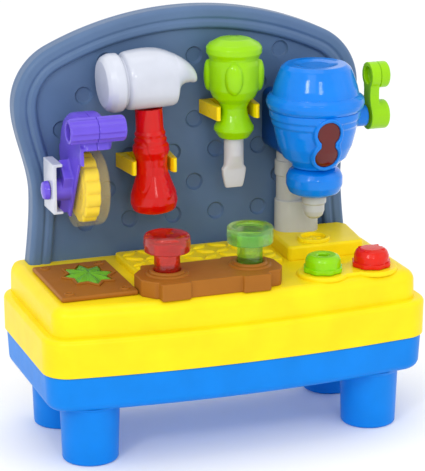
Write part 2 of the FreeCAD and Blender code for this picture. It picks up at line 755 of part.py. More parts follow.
def hammer_head():
    """A round striking drum, a groove, a square-shouldered body and a curved claw."""
    zc = hammer_head_z
    r = hammer_head_radius
    left = hammer_x - 41.0
    drum = lathe_x([(0, left), (15, left + 0.6), (20.5, left + 3), (r - 0.6, left + 10), (r, left + 17),
                    (r - 1, left + 19), (r - 3.5, left + 24), (0, left + 24)], hammer_y, zc)
    neck = cyl_x(19.5, left + 23, left + 28, hammer_y, zc)
    flat = zc - r + 1.0
    side = [(left + 25, flat), (left + 60, flat), (left + 61.5, flat + 5), (left + 62.5, zc - 12),
            (left + 66, zc - 9), (left + 71, zc - 8.2), (left + 80, zc - 8.6), (left + 81.5, zc - 5),
            (left + 79, zc + 1), (left + 74, zc + 8), (left + 66, zc + 15.5), (left + 54, zc + 21.5),
            (left + 45, zc + r + 2), (left + 25, zc + r + 2)]
    body = prism_y(side, hammer_y - r - 2, hammer_y + r + 2)
    envelope = lathe_x([(0, left + 26), (r - 1.2, left + 27), (r - 0.2, left + 31), (r - 0.6, left + 51),
                        (r - 5, left + 66), (12, left + 79.2), (9, left + 82), (0, left + 82)], hammer_y, zc)
    head = fuse(drum, neck, body.common(envelope))
    return tilted(cut(head, cyl_z(8.05, handle_joint_z - 5, zc, hammer_x, hammer_y)))


def hammer_handle():
    """A waisted grip with a flared butt and ringed neck."""
    r = hammer_neck_radius
    profile = [(0, 171), (13, 171), (17.5, 174), (19.3, 181), (18.9, 188), (16.0, 198), (13.0, 206),
               (12.3, 212), (13.0, 218), (15.0, 225), (14.6, 229), (13.2, 231), (13.4, 234),
               (12.0, 236), (12.6, 239), (r, 242), (r, handle_joint_z - 0.05),
               (8, handle_joint_z - 0.05), (8, hammer_head_z - 0.5),
               (0, hammer_head_z - 0.5)]
    return tilted(lathe_z(profile, hammer_x, hammer_y))


# ---- screwdriver --------------------------------------------------------------------------
driver_joint_z = 228.5


def screwdriver_handle():
    """A capped barrel with four oval pads, a neck and a flared collar."""
    x, y = driver_x, driver_y
    profile = [(0, driver_joint_z), (9.5, driver_joint_z), (12.5, 230), (16.3, 236), (16.4, 238.5),
               (13.2, 244), (11.2, 249), (10.7, 254), (12.4, 258.5), (17.5, 263), (20.4, 270), (21.1, 279),
               (20.8, 290), (20.2, 294.5), (20.8, 296), (22.6, 300), (22.6, 304), (20.5, 307),
               (13, 311), (0, 312)]
    body = lathe_z(profile, x, y)
    pads = []
    for i in range(4):
        a = math.radians(driver_turn + 90 * i)
        ball = Part.makeSphere(12.4)
        scale = FreeCAD.Matrix()
        scale.scale(0.36, 0.52, 1.0)
        pad = ball.transformGeometry(scale)
        pad.rotate(V(0, 0, 0), V(0, 0, 1), math.degrees(a))
        pad.translate(V(x + 20.6 * math.cos(a), y + 20.6 * math.sin(a), pad_z))
        pads.append(pad)
    return cut(fuse(body, *pads), cyl_z(5.05, driver_joint_z - 1, 246, x, y))


def screwdriver_blade():
    """A round shaft with a flat tip that widens and then narrows."""
    x, y = driver_x, driver_y
    shaft = cyl_z(8.1, 203, driver_joint_z - 0.05, x, y)
    tang = cyl_z(5.0, driver_joint_z - 0.5, 245.5, x, y)
    tip = prism_y([(x - 8.1, 209), (x - 10.2, 203), (x - 10.0, 200), (x - 7.3, 187.5), (x + 7.3, 187.5),
                   (x + 10.0, 200), (x + 10.2, 203), (x + 8.1, 209)], y - 8.1, y + 8.1)
    wedge = prism_x([(y - 8.1, 214), (y - 3.0, 196), (y - 2.0, 187), (y + 2.0, 187), (y + 3.0, 196),
                     (y + 8.1, 214)], x - 12, x + 12)
    return fuse(cut(shaft, box(x - 9, x + 9, y - 9, y + 9, 202, 209)), tang, tip.common(wedge))


# ---- saw ----------------------------------------------------------------------------------
saw_screw_places = [(36.0, 251.0), (14.0, 246.5)]


def saw_housing_whole():
    """The saw's body: a round upper guard, a left cheek and a ribbed cross handle."""
    x0, x1 = saw_x
    hood = cyl_x(saw_body_radius, x0, x1, saw_body_y, saw_body_z)
    hood = hood.makeFillet(6.0, [e for e in hood.Edges if e.Closed])
    hood = cut(hood, box(x0 - 1, x1 + 1, -10, 70, 190, saw_body_z - 3))
    cheek = prism_x([(-1.5, 240), (36, 176), (44, 178), (62, 222), (62, 230), (20, 250)], x0, x0 + 2.5)
    web = prism_x([(2, 240), (20, 240), (20, 250), (2, 250)], x1 - 14, x1)
    boss = cyl_x(9.0, shoe_x + 3.0, x0 + 1, saw_axis_y, saw_axis_z)
    gusset = prism_x([(20, 212), (34, 224), (50, 218), (46, 190), (36, 180)], x0 - 8, x0)
    tube = cyl_x(9.6, saw_split_x - 23, saw_split_x + 22.5, saw_handle_y, saw_handle_z)
    ribs = [cyl_x(1.3, saw_split_x - 21.5, saw_split_x + 21.0, ry, rz)
            for ry, rz in ring_of(12, 9.3, saw_handle_y, saw_handle_z)]
    neck = prism_x([(0, 246), (6, 262), (30, 258), (30, 240)], saw_split_x - 9, saw_split_x + 10)
    body = fuse(hood, cheek, web, boss, gusset, neck, tube, *ribs)
    room = cyl_x(saw_guard_radius + clearance, x0 + 2.5, x1 + 1, saw_axis_y, saw_axis_z)
    front_room = box(x0 + 2.5, x1 + 1, -12.0, saw_axis_y, 190.0, saw_cut_z)
    body = cut(body, front_room)
    room_top = box(x0 + 2.5, x1 - 2.5, saw_axis_y - 20, saw_axis_y + 20, saw_axis_z, 240)
    bore = cyl_x(6.8, saw_split_x - 25, saw_split_x + 26, saw_handle_y, saw_handle_z)
    axle_hole = cyl_x(3.06, shoe_x, x0 + 3, saw_axis_y, saw_axis_z)
    socket = cyl_y(4.4, 45.0, 64.0, *saw_hook_at)
    screw_holes = [cyl_x(1.55, saw_x[1] - 18, saw_x[1] + 1, y, z) for y, z in saw_screw_places]
    head_seats = [cyl_x(3.1, saw_x[1] - 1.6, saw_x[1] + 1, y, z) for y, z in saw_screw_places]
    body = cut(body, *(screw_holes + head_seats))
    upper_room = room_top.common(cyl_x(30.4, x0, x1, saw_axis_y, saw_axis_z))
    return cut(body, room, upper_room, bore, axle_hole, socket)


def saw_housing_left():
    return saw_housing_whole().common(box(-150, saw_split_x, -30, 80, 150, 290))


def saw_housing_right():
    whole = saw_housing_whole().common(box(saw_split_x, -50, -30, 80, 150, 290))
    return max(whole.Solids, key=lambda s: s.Volume)


def saw_guard():
    """The clear lower guard round the blade, open at its left where the cheek closes it."""
    x0 = saw_x[0] + 2.6
    x1 = saw_x[1]
    r = saw_guard_radius
    outer = cyl_x(r, x0, x1, saw_axis_y, saw_axis_z)
    outer = outer.makeFillet(5.0, [e for e in outer.Edges if e.Closed and abs(e.BoundBox.XMin - x1) < 1e-3])
    inner = cyl_x(r - 1.8, x0, x1 - 1.8, saw_axis_y, saw_axis_z)
    pin_seat = cyl_x(6.0, x1 - 6.0, x1 - 1.0, saw_axis_y, saw_axis_z)
    body = fuse(cut(outer, inner), pin_seat)
    return cut(body, cyl_x(3.06, x1 - 7.0, x1 - 2.5, saw_axis_y, saw_axis_z))


blade_teeth = 14


def saw_blade():
    """A thick toothed wheel with scalloped edges and a hub."""
    x0, x1 = saw_blade_x
    wheel = cyl_x(saw_blade_radius, x0, x1, saw_axis_y, saw_axis_z)
    notches = [cyl_x(2.6, x0 - 1, x1 + 1, y, z)
               for y, z in ring_of(blade_teeth, saw_blade_radius + 1.2, saw_axis_y, saw_axis_z)]
    dish = cut(cyl_x(22.0, x1 - 3.0, x1, saw_axis_y, saw_axis_z),
               cyl_x(8.0, x1 - 3.0, x1, saw_axis_y, saw_axis_z))
    return cut(wheel, dish, cyl_x(3.0, x0 - 1, x1 + 1, saw_axis_y, saw_axis_z), *notches)


def saw_axle():
    """The pin that the blade and the knob turn on together."""
    return cyl_x(3.0, shoe_x - 5.3, saw_x[1] - 2.9, saw_axis_y, saw_axis_z)


shoe_x = -129.0
shoe_low = 183.5
shoe_high = 224.0


def saw_shoe():
    """The white side plate, a channel with top and bottom flanges."""
    plate = box(shoe_x, shoe_x + 3.0, 20, 48, shoe_low, shoe_high)
    flanges = [box(shoe_x, shoe_x + 8.0, 20, 48, shoe_high - 2.5, shoe_high),
               box(shoe_x, shoe_x + 8.0, 20, 48, shoe_low, shoe_low + 2.0)]
    shoe = fuse(plate, *flanges)
    return cut(shoe, cyl_x(3.4, shoe_x - 1, shoe_x + 4, saw_axis_y, saw_axis_z))


def saw_knob():
    """The round knob at the outer end of the blade's axle."""
    y, z = saw_axis_y, saw_axis_z
    return lathe_x([(3.0, shoe_x - 5.4), (4.6, shoe_x - 5.4), (6.6, shoe_x - 5.0), (7.6, shoe_x - 3.5),
                    (7.8, shoe_x - 0.4), (3.0, shoe_x - 0.4)], y, z)


def saw_screws():
    """Two screws that close the saw's housing."""
    x1 = saw_x[1] - 1.6
    return Part.makeCompound([fuse(cyl_x(1.5, x1 - 14, x1, y, z), cyl_x(3.0, x1, x1 + 1.4, y, z))
                              for y, z in saw_screw_places])


# ---- drill --------------------------------------------------------------------------------
cap_seam_z = 253.5
lens_x = drill_x - 2.4
bowl_outline = [(0, 205.5), (18.5, 205.5), (19.5, 208), (26, 214), (30.5, 224), (33.2, 235), (34.2, 241),
                (35.6, 242), (35.8, 246.5), (37.2, 247.5), (37.6, cap_seam_z), (0, cap_seam_z)]


column_foot_x = 95.0
column_foot_y = 48.0
foot_top = 170.0


def drill_column():
    """A pipe-like column with two couplings and a cap."""
    x, y = column_x, column_y
    z0 = deck_height + platform_height
    pipe = cyl_z(column_radius, z0, 222.0, x, y)
    foot = cyl_z(coupling_radius, z0, foot_top, x, y)
    side_foot = cyl_z(coupling_radius, z0, foot_top, column_foot_x, column_foot_y)
    bridge = box(0, math.hypot(column_foot_x - x, column_foot_y - y), -coupling_radius, coupling_radius,
                 z0, foot_top)
    bridge.rotate(V(0, 0, 0), V(0, 0, 1), math.degrees(math.atan2(column_foot_y - y, column_foot_x - x)))
    bridge.translate(V(x, y, 0))
    foot = fuse(foot, side_foot, bridge).removeSplitter()
    ring = cyl_z(coupling_radius, 190.5, 203.0, x, y)
    bore = cyl_z(column_radius - 2.2, z0, 222.0, x, y)
    return cut(fuse(pipe, foot, ring), bore)


def drill_body():
    """The bowl of the drill head: two bands above a deep bowl with a narrow neck."""
    inner = [(0, 209.0), (16, 209.0), (23, 215.5), (27.8, 224.5), (30.7, 236), (33.2, 245),
             (34.6, cap_seam_z + 1), (0, cap_seam_z + 1)]
    bowl = cut(lathe_z(bowl_outline, drill_x, drill_y), lathe_z(inner, drill_x, drill_y))
    hub = cyl_x(9.0, drill_x + 28, drill_x + 44.0, drill_y, crank_z)
    hub = cut(hub, lathe_z(inner, drill_x, drill_y))
    lens_skin = lathe_z([(0, 206), (25, 206), (30.5, 214), (34.8, 224), (37.2, 235), (38.6, 252), (0, 252)],
                        drill_x, drill_y)
    lens_wall = lens_block(12.4, drill_y - 39, drill_y - 20).common(lens_skin)
    lens_wall = cut(lens_wall, lathe_z(inner, drill_x, drill_y))
    bowl = fuse(bowl, hub, lens_wall)
    column_seat = cyl_z(column_radius + 0.15, 190.0, 222.2, column_x, column_y)
    shaft_hole = cyl_x(3.06, drill_x + 20, drill_x + 50, drill_y, crank_z)
    spindle_hole = cyl_z(4.06, 200, 215, drill_x, drill_y)
    lens_hole = lens_block(9.6, drill_y - 45, drill_y - 10)
    return cut(bowl, column_seat, shaft_hole, spindle_hole, lens_hole)


def lens_block(radius, y0, y1):
    """The figure of eight that the lens fills, as a bar from front to back."""
    upper = cyl_y(radius, y0, y1, lens_x, 240.0)
    lower = cyl_y(radius, y0, y1, lens_x, 220.5)
    waist = box(lens_x - radius * 0.62, lens_x + radius * 0.62, y0, y1, 222.0, 237.0)
    return fuse(upper, lower, waist)


def drill_lens():
    """The dark red lens that covers the drill's lamp."""
    skin = lathe_z([(0, 206), (23.6, 206), (29.2, 214), (33.4, 224), (36.0, 235), (37.4, 252), (0, 252)],
                   drill_x, drill_y)
    core = lathe_z([(0, 206), (19.0, 206), (24.6, 214), (28.6, 224), (31.2, 235), (32.6, 252), (0, 252)],
                   drill_x, drill_y)
    return lens_block(9.6, drill_y - 45, drill_y - 10).common(cut(skin, core))


def drill_cap():
    """The head's cap: a thick round rim under a tapered crown with a flat top."""
    z0 = cap_seam_z
    outer = [(0, z0), (37.5, z0), (39.4, z0 + 2.5), (40.0, z0 + 6.0), (39.2, z0 + 10), (36.5, z0 + 12.3),
             (35.5, z0 + 12.6), (34.3, z0 + 18), (30.5, z0 + 29), (28.3, z0 + 34), (25.0, z0 + 36.8),
             (18.0, z0 + 36.8), (12.0, z0 + 35.6), (0, z0 + 35.6)]
    inner = [(0, z0 - 1), (34.5, z0 - 1), (36.0, z0 + 6), (32.3, z0 + 13), (27.5, z0 + 28), (23.0, z0 + 33),
             (0, z0 + 32.6)]
    return cut(lathe_z(outer, drill_x, drill_y), lathe_z(inner, drill_x, drill_y))


def drill_bracket():
    """The block that carries the drill head on the panel, shaped to the bowl."""
    block = box(drill_x - 27, drill_x + 27, drill_y + 12, panel_field, 213.0, cap_seam_z + 9.0)
    block = fillet_where(block, 7.0, lambda e: abs(e.BoundBox.YLength) > 20)
    bowl = lathe_z(bowl_outline, drill_x, drill_y)
    cap_room = cyl_z(40.3, cap_seam_z, 270, drill_x, drill_y)
    holes = [cyl_y(1.35, 50.0, panel_field + 1, drill_x + s * 18, 245.0) for s in (-1, 1)]
    column_seat = cyl_z(column_radius + 0.15, 200.0, 222.2, column_x, column_y)
    return cut(block, bowl, cap_room, column_seat, *holes)


spindle_top = 230.5
pinion_z = crank_z - crown_radius


def drill_spindle():
    """The upright shaft with the small ten-tooth gear."""
    shaft = cyl_z(4.0, 188.0, spindle_top, drill_x, drill_y)
    hub = cyl_z(6.5, pinion_z - 2.2, pinion_z + 2.2, drill_x, drill_y)
    teeth = []
    count = crown_teeth // 2
    for i in range(count):
        tooth = box(drill_x + 5.5, drill_x + 10.4, drill_y - 0.95, drill_y + 0.95,
                    pinion_z - 2.0, pinion_z + 2.0)
        tooth.rotate(V(drill_x, drill_y, 0), V(0, 0, 1), 360.0 * i / count)
        teeth.append(tooth)
    return fuse(shaft, hub, *teeth)


def crown_gear():
    """The twenty-peg crown gear on the crank's shaft."""
    x0 = drill_x + 12.0
    disc = cyl_x(crown_radius + 3.0, x0, x0 + 3.0, drill_y, crank_z)
    disc = fuse(disc, cyl_x(6.0, x0, x0 + 6.0, drill_y, crank_z))
    pegs = []
    for i in range(crown_teeth):
        a = 2 * math.pi * (i + 0.5) / crown_teeth
        y = drill_y + crown_radius * math.sin(a)
        z = crank_z - crown_radius * math.cos(a)
        pegs.append(cyl_x(1.1, x0 - 4.2, x0 + 0.5, y, z))
    return cut(fuse(disc, *pegs), cyl_x(3.0, x0 - 1, x0 + 7, drill_y, crank_z))


def crank_shaft():
    return cyl_x(3.0, drill_x + 12.0, shaft_end - 0.1, drill_y, crank_z)


crank_x = 136.0
crank_end = 152.5
shaft_end = crank_end - 3.0


def crank_arm():
    """The crank: a hub, a flat arm and a round eye that carries the grip."""
    y = drill_y
    z1 = crank_z + crank_offset
    hub = cyl_x(12.0, crank_x, crank_end, y, crank_z)
    hub = hub.makeFillet(2.0, [e for e in hub.Edges if e.Closed and abs(e.BoundBox.XMin - crank_end) < 1e-3])
    arm = prism_x([(y - 10, crank_z), (y + 10, crank_z), (y + 6.5, crank_z + 17), (y + 8, z1), (y - 8, z1),
                   (y - 6.5, crank_z + 17)], crank_x, crank_x + 8)
    eye = cut(cyl_x(10.8, crank_x, crank_x + 8, y, z1), cyl_x(7.0, crank_x, crank_x + 4.5, y, z1))
    pin = cyl_x(3.5, crank_x + 4, crank_end - 3.5, y, z1)
    bore = cyl_x(3.0, crank_x - 1, shaft_end, y, crank_z)
    return cut(fuse(hub, arm, pin, eye).cut(cyl_x(7.0, crank_x, crank_x + 4.5, y, z1)), bore)


def crank_grip():
    """The round knob that spins on the crank's pin."""
    y = drill_y
    z = crank_z + crank_offset
    grip = cyl_x(10.8, crank_x + 8.35, crank_end, y, z)
    outer_edge = [e for e in grip.Edges if e.Closed and abs(e.BoundBox.XMin - crank_end) < 1e-3]
    grip = grip.makeFillet(2.0, outer_edge)
    return cut(grip, cyl_x(3.58, crank_x + 8, crank_end - 3.2, y, z))


def drill_chuck():
    """The fat ring-shaped chuck under the head."""
    x, y = drill_x, drill_y
    return lathe_z([(4.0, 204.9), (15.5, 204.9), (20.8, 202.5), (23.2, 198), (23.2, 190), (20.8, 184.5),
                    (15.0, 181.5), (4.0, 181.5)], x, y)


def drill_bit():
    """The blunt bit in the chuck, with a domed tip."""
    x, y = drill_x, drill_y
    return lathe_z([(0, 187.9), (4.0, 187.9), (4.0, 181.4), (10.0, 181.4), (10.0, 175), (8.6, 173.5),
                    (8.6, 168), (7.2, 164), (4.2, 161.6), (0, 161)], x, y)


def drill_lamp():
    """Two small lamps behind the drill's lens, on one strip."""
    strip = box(drill_x - 4, drill_x + 4, drill_y - 19.5, drill_y - 18.0, 208.0, 245.0)
    bulbs = [cyl_y(2.5, drill_y - 22.0, drill_y - 19.0, drill_x, z) for z in (224.0, 240.0)]
    lamp = cut(fuse(strip, *bulbs), drill_body())
    return max(lamp.Solids, key=lambda s: s.Volume)


# ---- build --------------------------------------------------------------------------------
def all_parts():
    parts = {name: leg(x, y) for name, (x, y) in leg_places().items()}
    parts.update({
        "base_tray": base_tray(),
        "battery_door": battery_door(),
        "batteries": batteries(),
        "battery_contacts": battery_contacts(),
        "speaker": speaker(),
        "circuit_board": circuit_board(),
        "case_screws": case_screws(),
        "bench_top": bench_top(),
        "back_panel": back_panel(),
        "panel_rear_cover": panel_rear_cover(),
        "panel_screws": panel_screws(),
        "clip_screws": clip_screws(),
        "button_plate": button_plate(),
        "star_button": star_button(),
        "button_spring": button_spring(),
        "switch_board": switch_board(),
        "peg_beam": peg_beam(),
        "red_peg": peg(red_peg_x, False),
        "green_peg": peg(green_peg_x, True),
        "peg_rocker": peg_rocker(),
        "rocker_bracket": rocker_bracket(),
        "rocker_pin": rocker_pin(),
        "green_nut": nut(green_nut_at, False),
        "red_nut": nut(red_nut_at, True),
        "green_nut_clip": nut_clip(green_nut_at),
        "red_nut_clip": nut_clip(red_nut_at),
        "saw_hook": saw_hook(),
        "hammer_head": hammer_head(),
        "hammer_handle": hammer_handle(),
        "screwdriver_handle": screwdriver_handle(),
        "screwdriver_blade": screwdriver_blade(),
        "saw_housing_left": saw_housing_left(),
        "saw_housing_right": saw_housing_right(),
        "saw_guard": saw_guard(),
        "saw_blade": saw_blade(),
        "saw_axle": saw_axle(),
        "saw_shoe": saw_shoe(),
        "saw_knob": saw_knob(),
        "saw_screws": saw_screws(),
        "drill_column": drill_column(),
        "drill_body": drill_body(),
        "drill_cap": drill_cap(),
        "drill_bracket": drill_bracket(),
        "drill_lens": drill_lens(),
        "drill_lamp": drill_lamp(),
        "drill_spindle": drill_spindle(),
        "drill_chuck": drill_chuck(),
        "drill_bit": drill_bit(),
        "crown_gear": crown_gear(),
        "crank_shaft": crank_shaft(),
        "crank_arm": crank_arm(),
        "crank_grip": crank_grip(),
    })
    for name, (x, z, half_gap) in clip_places.items():
        parts[name] = tool_clip(x, z, half_gap)
    return parts


def main():
    os.makedirs("parts", exist_ok=True)
    for name, shape in sorted(all_parts().items()):
        solids = shape.Solids
        valid = all(s.isValid() for s in solids)
        print(name, len(solids), "solid(s)", "valid" if valid else "INVALID", round(shape.Volume, 1))
        shape.exportStep("parts/" + name + ".step")


main()
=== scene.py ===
import json
import math

import bmesh
import bpy
from mathutils import Matrix, Vector


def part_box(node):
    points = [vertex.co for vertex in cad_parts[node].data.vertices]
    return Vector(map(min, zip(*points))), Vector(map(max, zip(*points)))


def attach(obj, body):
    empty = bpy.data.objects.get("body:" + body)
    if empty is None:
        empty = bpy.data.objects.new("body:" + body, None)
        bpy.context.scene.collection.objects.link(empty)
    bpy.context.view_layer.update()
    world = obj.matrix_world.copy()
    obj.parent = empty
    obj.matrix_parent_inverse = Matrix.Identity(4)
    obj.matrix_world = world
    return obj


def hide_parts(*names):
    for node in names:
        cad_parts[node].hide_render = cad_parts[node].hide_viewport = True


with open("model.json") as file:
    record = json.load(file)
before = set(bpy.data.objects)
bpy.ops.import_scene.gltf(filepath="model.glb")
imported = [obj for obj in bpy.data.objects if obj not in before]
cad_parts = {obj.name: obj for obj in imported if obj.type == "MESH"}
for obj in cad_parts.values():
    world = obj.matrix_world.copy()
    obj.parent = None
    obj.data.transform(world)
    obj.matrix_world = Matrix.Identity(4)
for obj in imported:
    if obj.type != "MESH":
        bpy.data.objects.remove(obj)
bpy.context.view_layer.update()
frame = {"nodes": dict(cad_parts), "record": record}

# Looks of the toy tool bench.  Shapes are written in millimetres and scaled to metres when a mesh is made.
MM = 0.001


# ---- places taken from the frame ----------------------------------------------------------
def span(node):
    """Centre, lowest and highest corner of a CAD node, in millimetres."""
    lo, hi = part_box(node)
    return (lo + hi) / (2 * MM), lo / MM, hi / MM


bench_lo, bench_hi = span("bench_top")[1:]
tray_lo, tray_hi = span("base_tray")[1:]
HALF_WIDTH = bench_hi.x
BACK = span("panel_rear_cover")[2].y
BOW = 12.0  # how far the middle of the front stands proud of its corners
FRONT = bench_lo.y + BOW
TRAY_BOTTOM = tray_lo.z
SEAM = tray_hi.z
DECK = span("peg_beam")[1].z
STEP_HEIGHT = 23.0
STEP = DECK - STEP_HEIGHT
PLATFORM = span("drill_column")[1].z
FIELD = span("hammer_clip")[2].y
PANEL_FRONT = span("back_panel")[1].y
PANEL_SPLIT = span("panel_rear_cover")[1].y


# ---- mesh helpers -------------------------------------------------------------------------
def rounded(points, radius=0.0, closed=False, steps=6):
    """A polyline with its corners turned into arcs.  A point may carry its own radius as third value."""
    out = []
    count = len(points)
    for i, point in enumerate(points):
        corner = Vector(point[:2])
        r = point[2] if len(point) > 2 else radius
        if r <= 0 or (not closed and i in (0, count - 1)):
            out.append(corner)
            continue
        u = Vector(points[i - 1][:2]) - corner
        v = Vector(points[(i + 1) % count][:2]) - corner
        half = u.angle(v) / 2
        reach = min(r / math.tan(half), 0.49 * u.length, 0.49 * v.length)
        start = corner + u.normalized() * reach
        end = corner + v.normalized() * reach
        weight = math.sin(half)
        for k in range(steps + 1):
            s = k / steps
            a, b, c = (1 - s) ** 2, 2 * s * (1 - s) * weight, s * s
            out.append((start * a + corner * b + end * c) / (a + b + c))
    return out


def finer(profile, step):
    """Splits long stretches of a polyline so that no piece is longer than step."""
    out = [Vector(profile[0])]
    for point in profile[1:]:
        point = Vector(point)
        gap = (point - out[-1]).length
        start = out[-1]
        for k in range(1, int(gap / step) + 1):
            out.append(start.lerp(point, k / (int(gap / step) + 1)))
        out.append(point)
    return out


def turn(profile, centre, axis="z", count=96, closed=False, shape=None):
    """A surface of revolution from (radius, height) points; shape may change the radius.

    shape takes the angle, the radius and the height of a point, and gives its new radius.
    """
    verts, faces, rows = [], [], []
    for radius, height in profile:
        if radius < 1e-4:
            rows.append([len(verts)])
            verts.append((0.0, 0.0, height))
            continue
        row = []
        for k in range(count):
            angle = 2 * math.pi * k / count
            r = shape(angle, radius, height) if shape else radius
            row.append(len(verts))
            verts.append((r * math.cos(angle), r * math.sin(angle), height))
        rows.append(row)
    pairs = list(zip(rows, rows[1:])) + ([(rows[-1], rows[0])] if closed else [])
    for low, high in pairs:
        for k in range(count):
            n = (k + 1) % count
            quad = [low[k % len(low)], low[n % len(low)], high[n % len(high)], high[k % len(high)]]
            unique = list(dict.fromkeys(quad))
            if len(unique) > 2:
                faces.append(unique)
    if not closed:
        for row, flip in ((rows[0], True), (rows[-1], False)):
            if len(row) > 1:
                faces.append(row[::-1] if flip else row)
    cx, cy, cz = centre
    place = {
        "z": lambda v: (cx + v[0], cy + v[1], cz + v[2]),
        "x": lambda v: (cx + v[2], cy + v[0], cz + v[1]),
        "y": lambda v: (cx + v[0], cy + v[2], cz - v[1]),
    }[axis]
    return [place(v) for v in verts], faces


def loft(rings, caps=True):
    """Quads between rings of equal length, with flat caps."""
    verts = [tuple(p) for ring in rings for p in ring]
    n = len(rings[0])
    faces = []
    for r in range(len(rings) - 1):
        for k in range(n):
            m = (k + 1) % n
            faces.append([r * n + k, r * n + m, (r + 1) * n + m, (r + 1) * n + k])
    if caps:
        faces.append(list(range(n))[::-1])
        faces.append([(len(rings) - 1) * n + k for k in range(n)])
    return verts, faces


def squared_circle(power, count):
    """Points round the unit circle, squared off towards a box as power rises above 2."""
    points = []
    for k in range(count):
        t = 2 * math.pi * k / count
        c, s = math.cos(t), math.sin(t)
        points.append((math.copysign(abs(c) ** (2 / power), c), math.copysign(abs(s) ** (2 / power), s)))
    return points


def hermite(s):
    """Weights of a cubic's start, start slope, end and end slope at s from 0 to 1."""
    return [2 * s ** 3 - 3 * s ** 2 + 1, s ** 3 - 2 * s ** 2 + s, -2 * s ** 3 + 3 * s ** 2, s ** 3 - s ** 2]


def angle_from(angle, reference):
    """The angle from a reference direction, between -pi and pi."""
    return math.atan2(math.sin(angle - reference), math.cos(angle - reference))


def slab(outline, z0, z1, axis="z"):
    """An extruded outline.  Along z the outline is (x, y); along y it is (x, z); along x it is (y, z)."""
    place = {
        "z": lambda a, b, h: (a, b, h),
        "y": lambda a, b, h: (a, h, b),
        "x": lambda a, b, h: (h, a, b),
    }[axis]
    return loft([[place(p[0], p[1], h) for p in outline] for h in (z0, z1)])


def block(x0, x1, y0, y1, z0, z1):
    """A box between six planes."""
    return slab([(x0, y0), (x1, y0), (x1, y1), (x0, y1)], z0, z1)


def joined(*parts):
    """Several geometries as one."""
    verts, faces = [], []
    for v, f in parts:
        base = len(verts)
        verts += v
        faces += [[i + base for i in face] for face in f]
    return verts, faces


SHARP_ANGLE = 35


def tidy_mesh(mesh, angle):
    """Welds doubles, turns the faces outwards and shades smooth up to a sharp angle in degrees."""
    bm = bmesh.new()
    bm.from_mesh(mesh)
    bmesh.ops.remove_doubles(bm, verts=bm.verts, dist=1e-7)
    bmesh.ops.recalc_face_normals(bm, faces=bm.faces)
    bm.to_mesh(mesh)
    bm.free()
    mesh.shade_smooth()
    mesh.set_sharp_from_angle(angle=math.radians(angle))


def raw(name, geometry, angle=SHARP_ANGLE):
    """A mesh object in the scene from (vertices, faces) in millimetres."""
    verts, faces = geometry
    mesh = bpy.data.meshes.new(name)
    mesh.from_pydata([Vector(v) * MM for v in verts], [], faces)
    tidy_mesh(mesh, angle)
    obj = bpy.data.objects.new(name, mesh)
    bpy.context.scene.collection.objects.link(obj)
    return obj


def bevel(obj, width, segments=3, angle=32):
    """Rounds the edges that are sharper than the angle."""
    mod = obj.modifiers.new("edge", "BEVEL")
    mod.width = width * MM
    mod.segments = segments
    mod.limit_method = "ANGLE"
    mod.angle_limit = math.radians(angle)
    mod.use_clamp_overlap = True
    return obj


def settle(obj):
    """Applies every modifier so far to the mesh."""
    bpy.context.view_layer.update()
    graph = bpy.context.evaluated_depsgraph_get()
    mesh = bpy.data.meshes.new_from_object(obj.evaluated_get(graph))
    obj.modifiers.clear()
    obj.data = mesh
    return obj


def carve(obj, *cutters):
    """Cuts closed geometries out of a piece, one after the other."""
    for geometry in cutters:
        tool = raw("cutter", geometry)
        mod = obj.modifiers.new("cut", "BOOLEAN")
        mod.operation = "DIFFERENCE"
        mod.object = tool
        mod.solver = "EXACT"
        settle(obj)
        bpy.data.objects.remove(tool)
    tidy_mesh(obj.data, SHARP_ANGLE)
    return obj


def soften(name, node, voxel=0.8, passes=6):
    """A CAD solid remade as an even mesh with its edges rounded, as a moulded part has."""
    obj = frame["nodes"][node].copy()
    obj.data = obj.data.copy()
    obj.name = name
    obj.parent = None
    for key in list(obj.keys()):
        del obj[key]
    bpy.context.scene.collection.objects.link(obj)
    obj.data.materials.clear()
    remesh = obj.modifiers.new("even", "REMESH")
    remesh.mode = "VOXEL"
    remesh.voxel_size = voxel * MM
    smooth = obj.modifiers.new("soft", "SMOOTH")
    smooth.factor = 0.5
    smooth.iterations = passes
    settle(obj)
    obj.data.shade_smooth()
    return obj


def show(obj, material, body, nodes=(), weighted=True):
    """Gives a piece its finish, its body and the CAD nodes that it stands for."""
    obj.data.materials.clear()
    obj.data.materials.append(material)
    if weighted:
        mod = obj.modifiers.new("normals", "WEIGHTED_NORMAL")
        mod.keep_sharp = True
        mod.weight = 60
    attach(obj, body)
    if nodes:
        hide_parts(*nodes)
    return obj


# ---- materials ----------------------------------------------------------------------------
PLASTIC_IOR = 1.49


def linear(rgb):
    """An 8-bit screen colour as linear red, green, blue and alpha."""
    channels = [v / 255 for v in rgb]
    return [c / 12.92 if c <= 0.04045 else ((c + 0.055) / 1.055) ** 2.4 for c in channels] + [1.0]


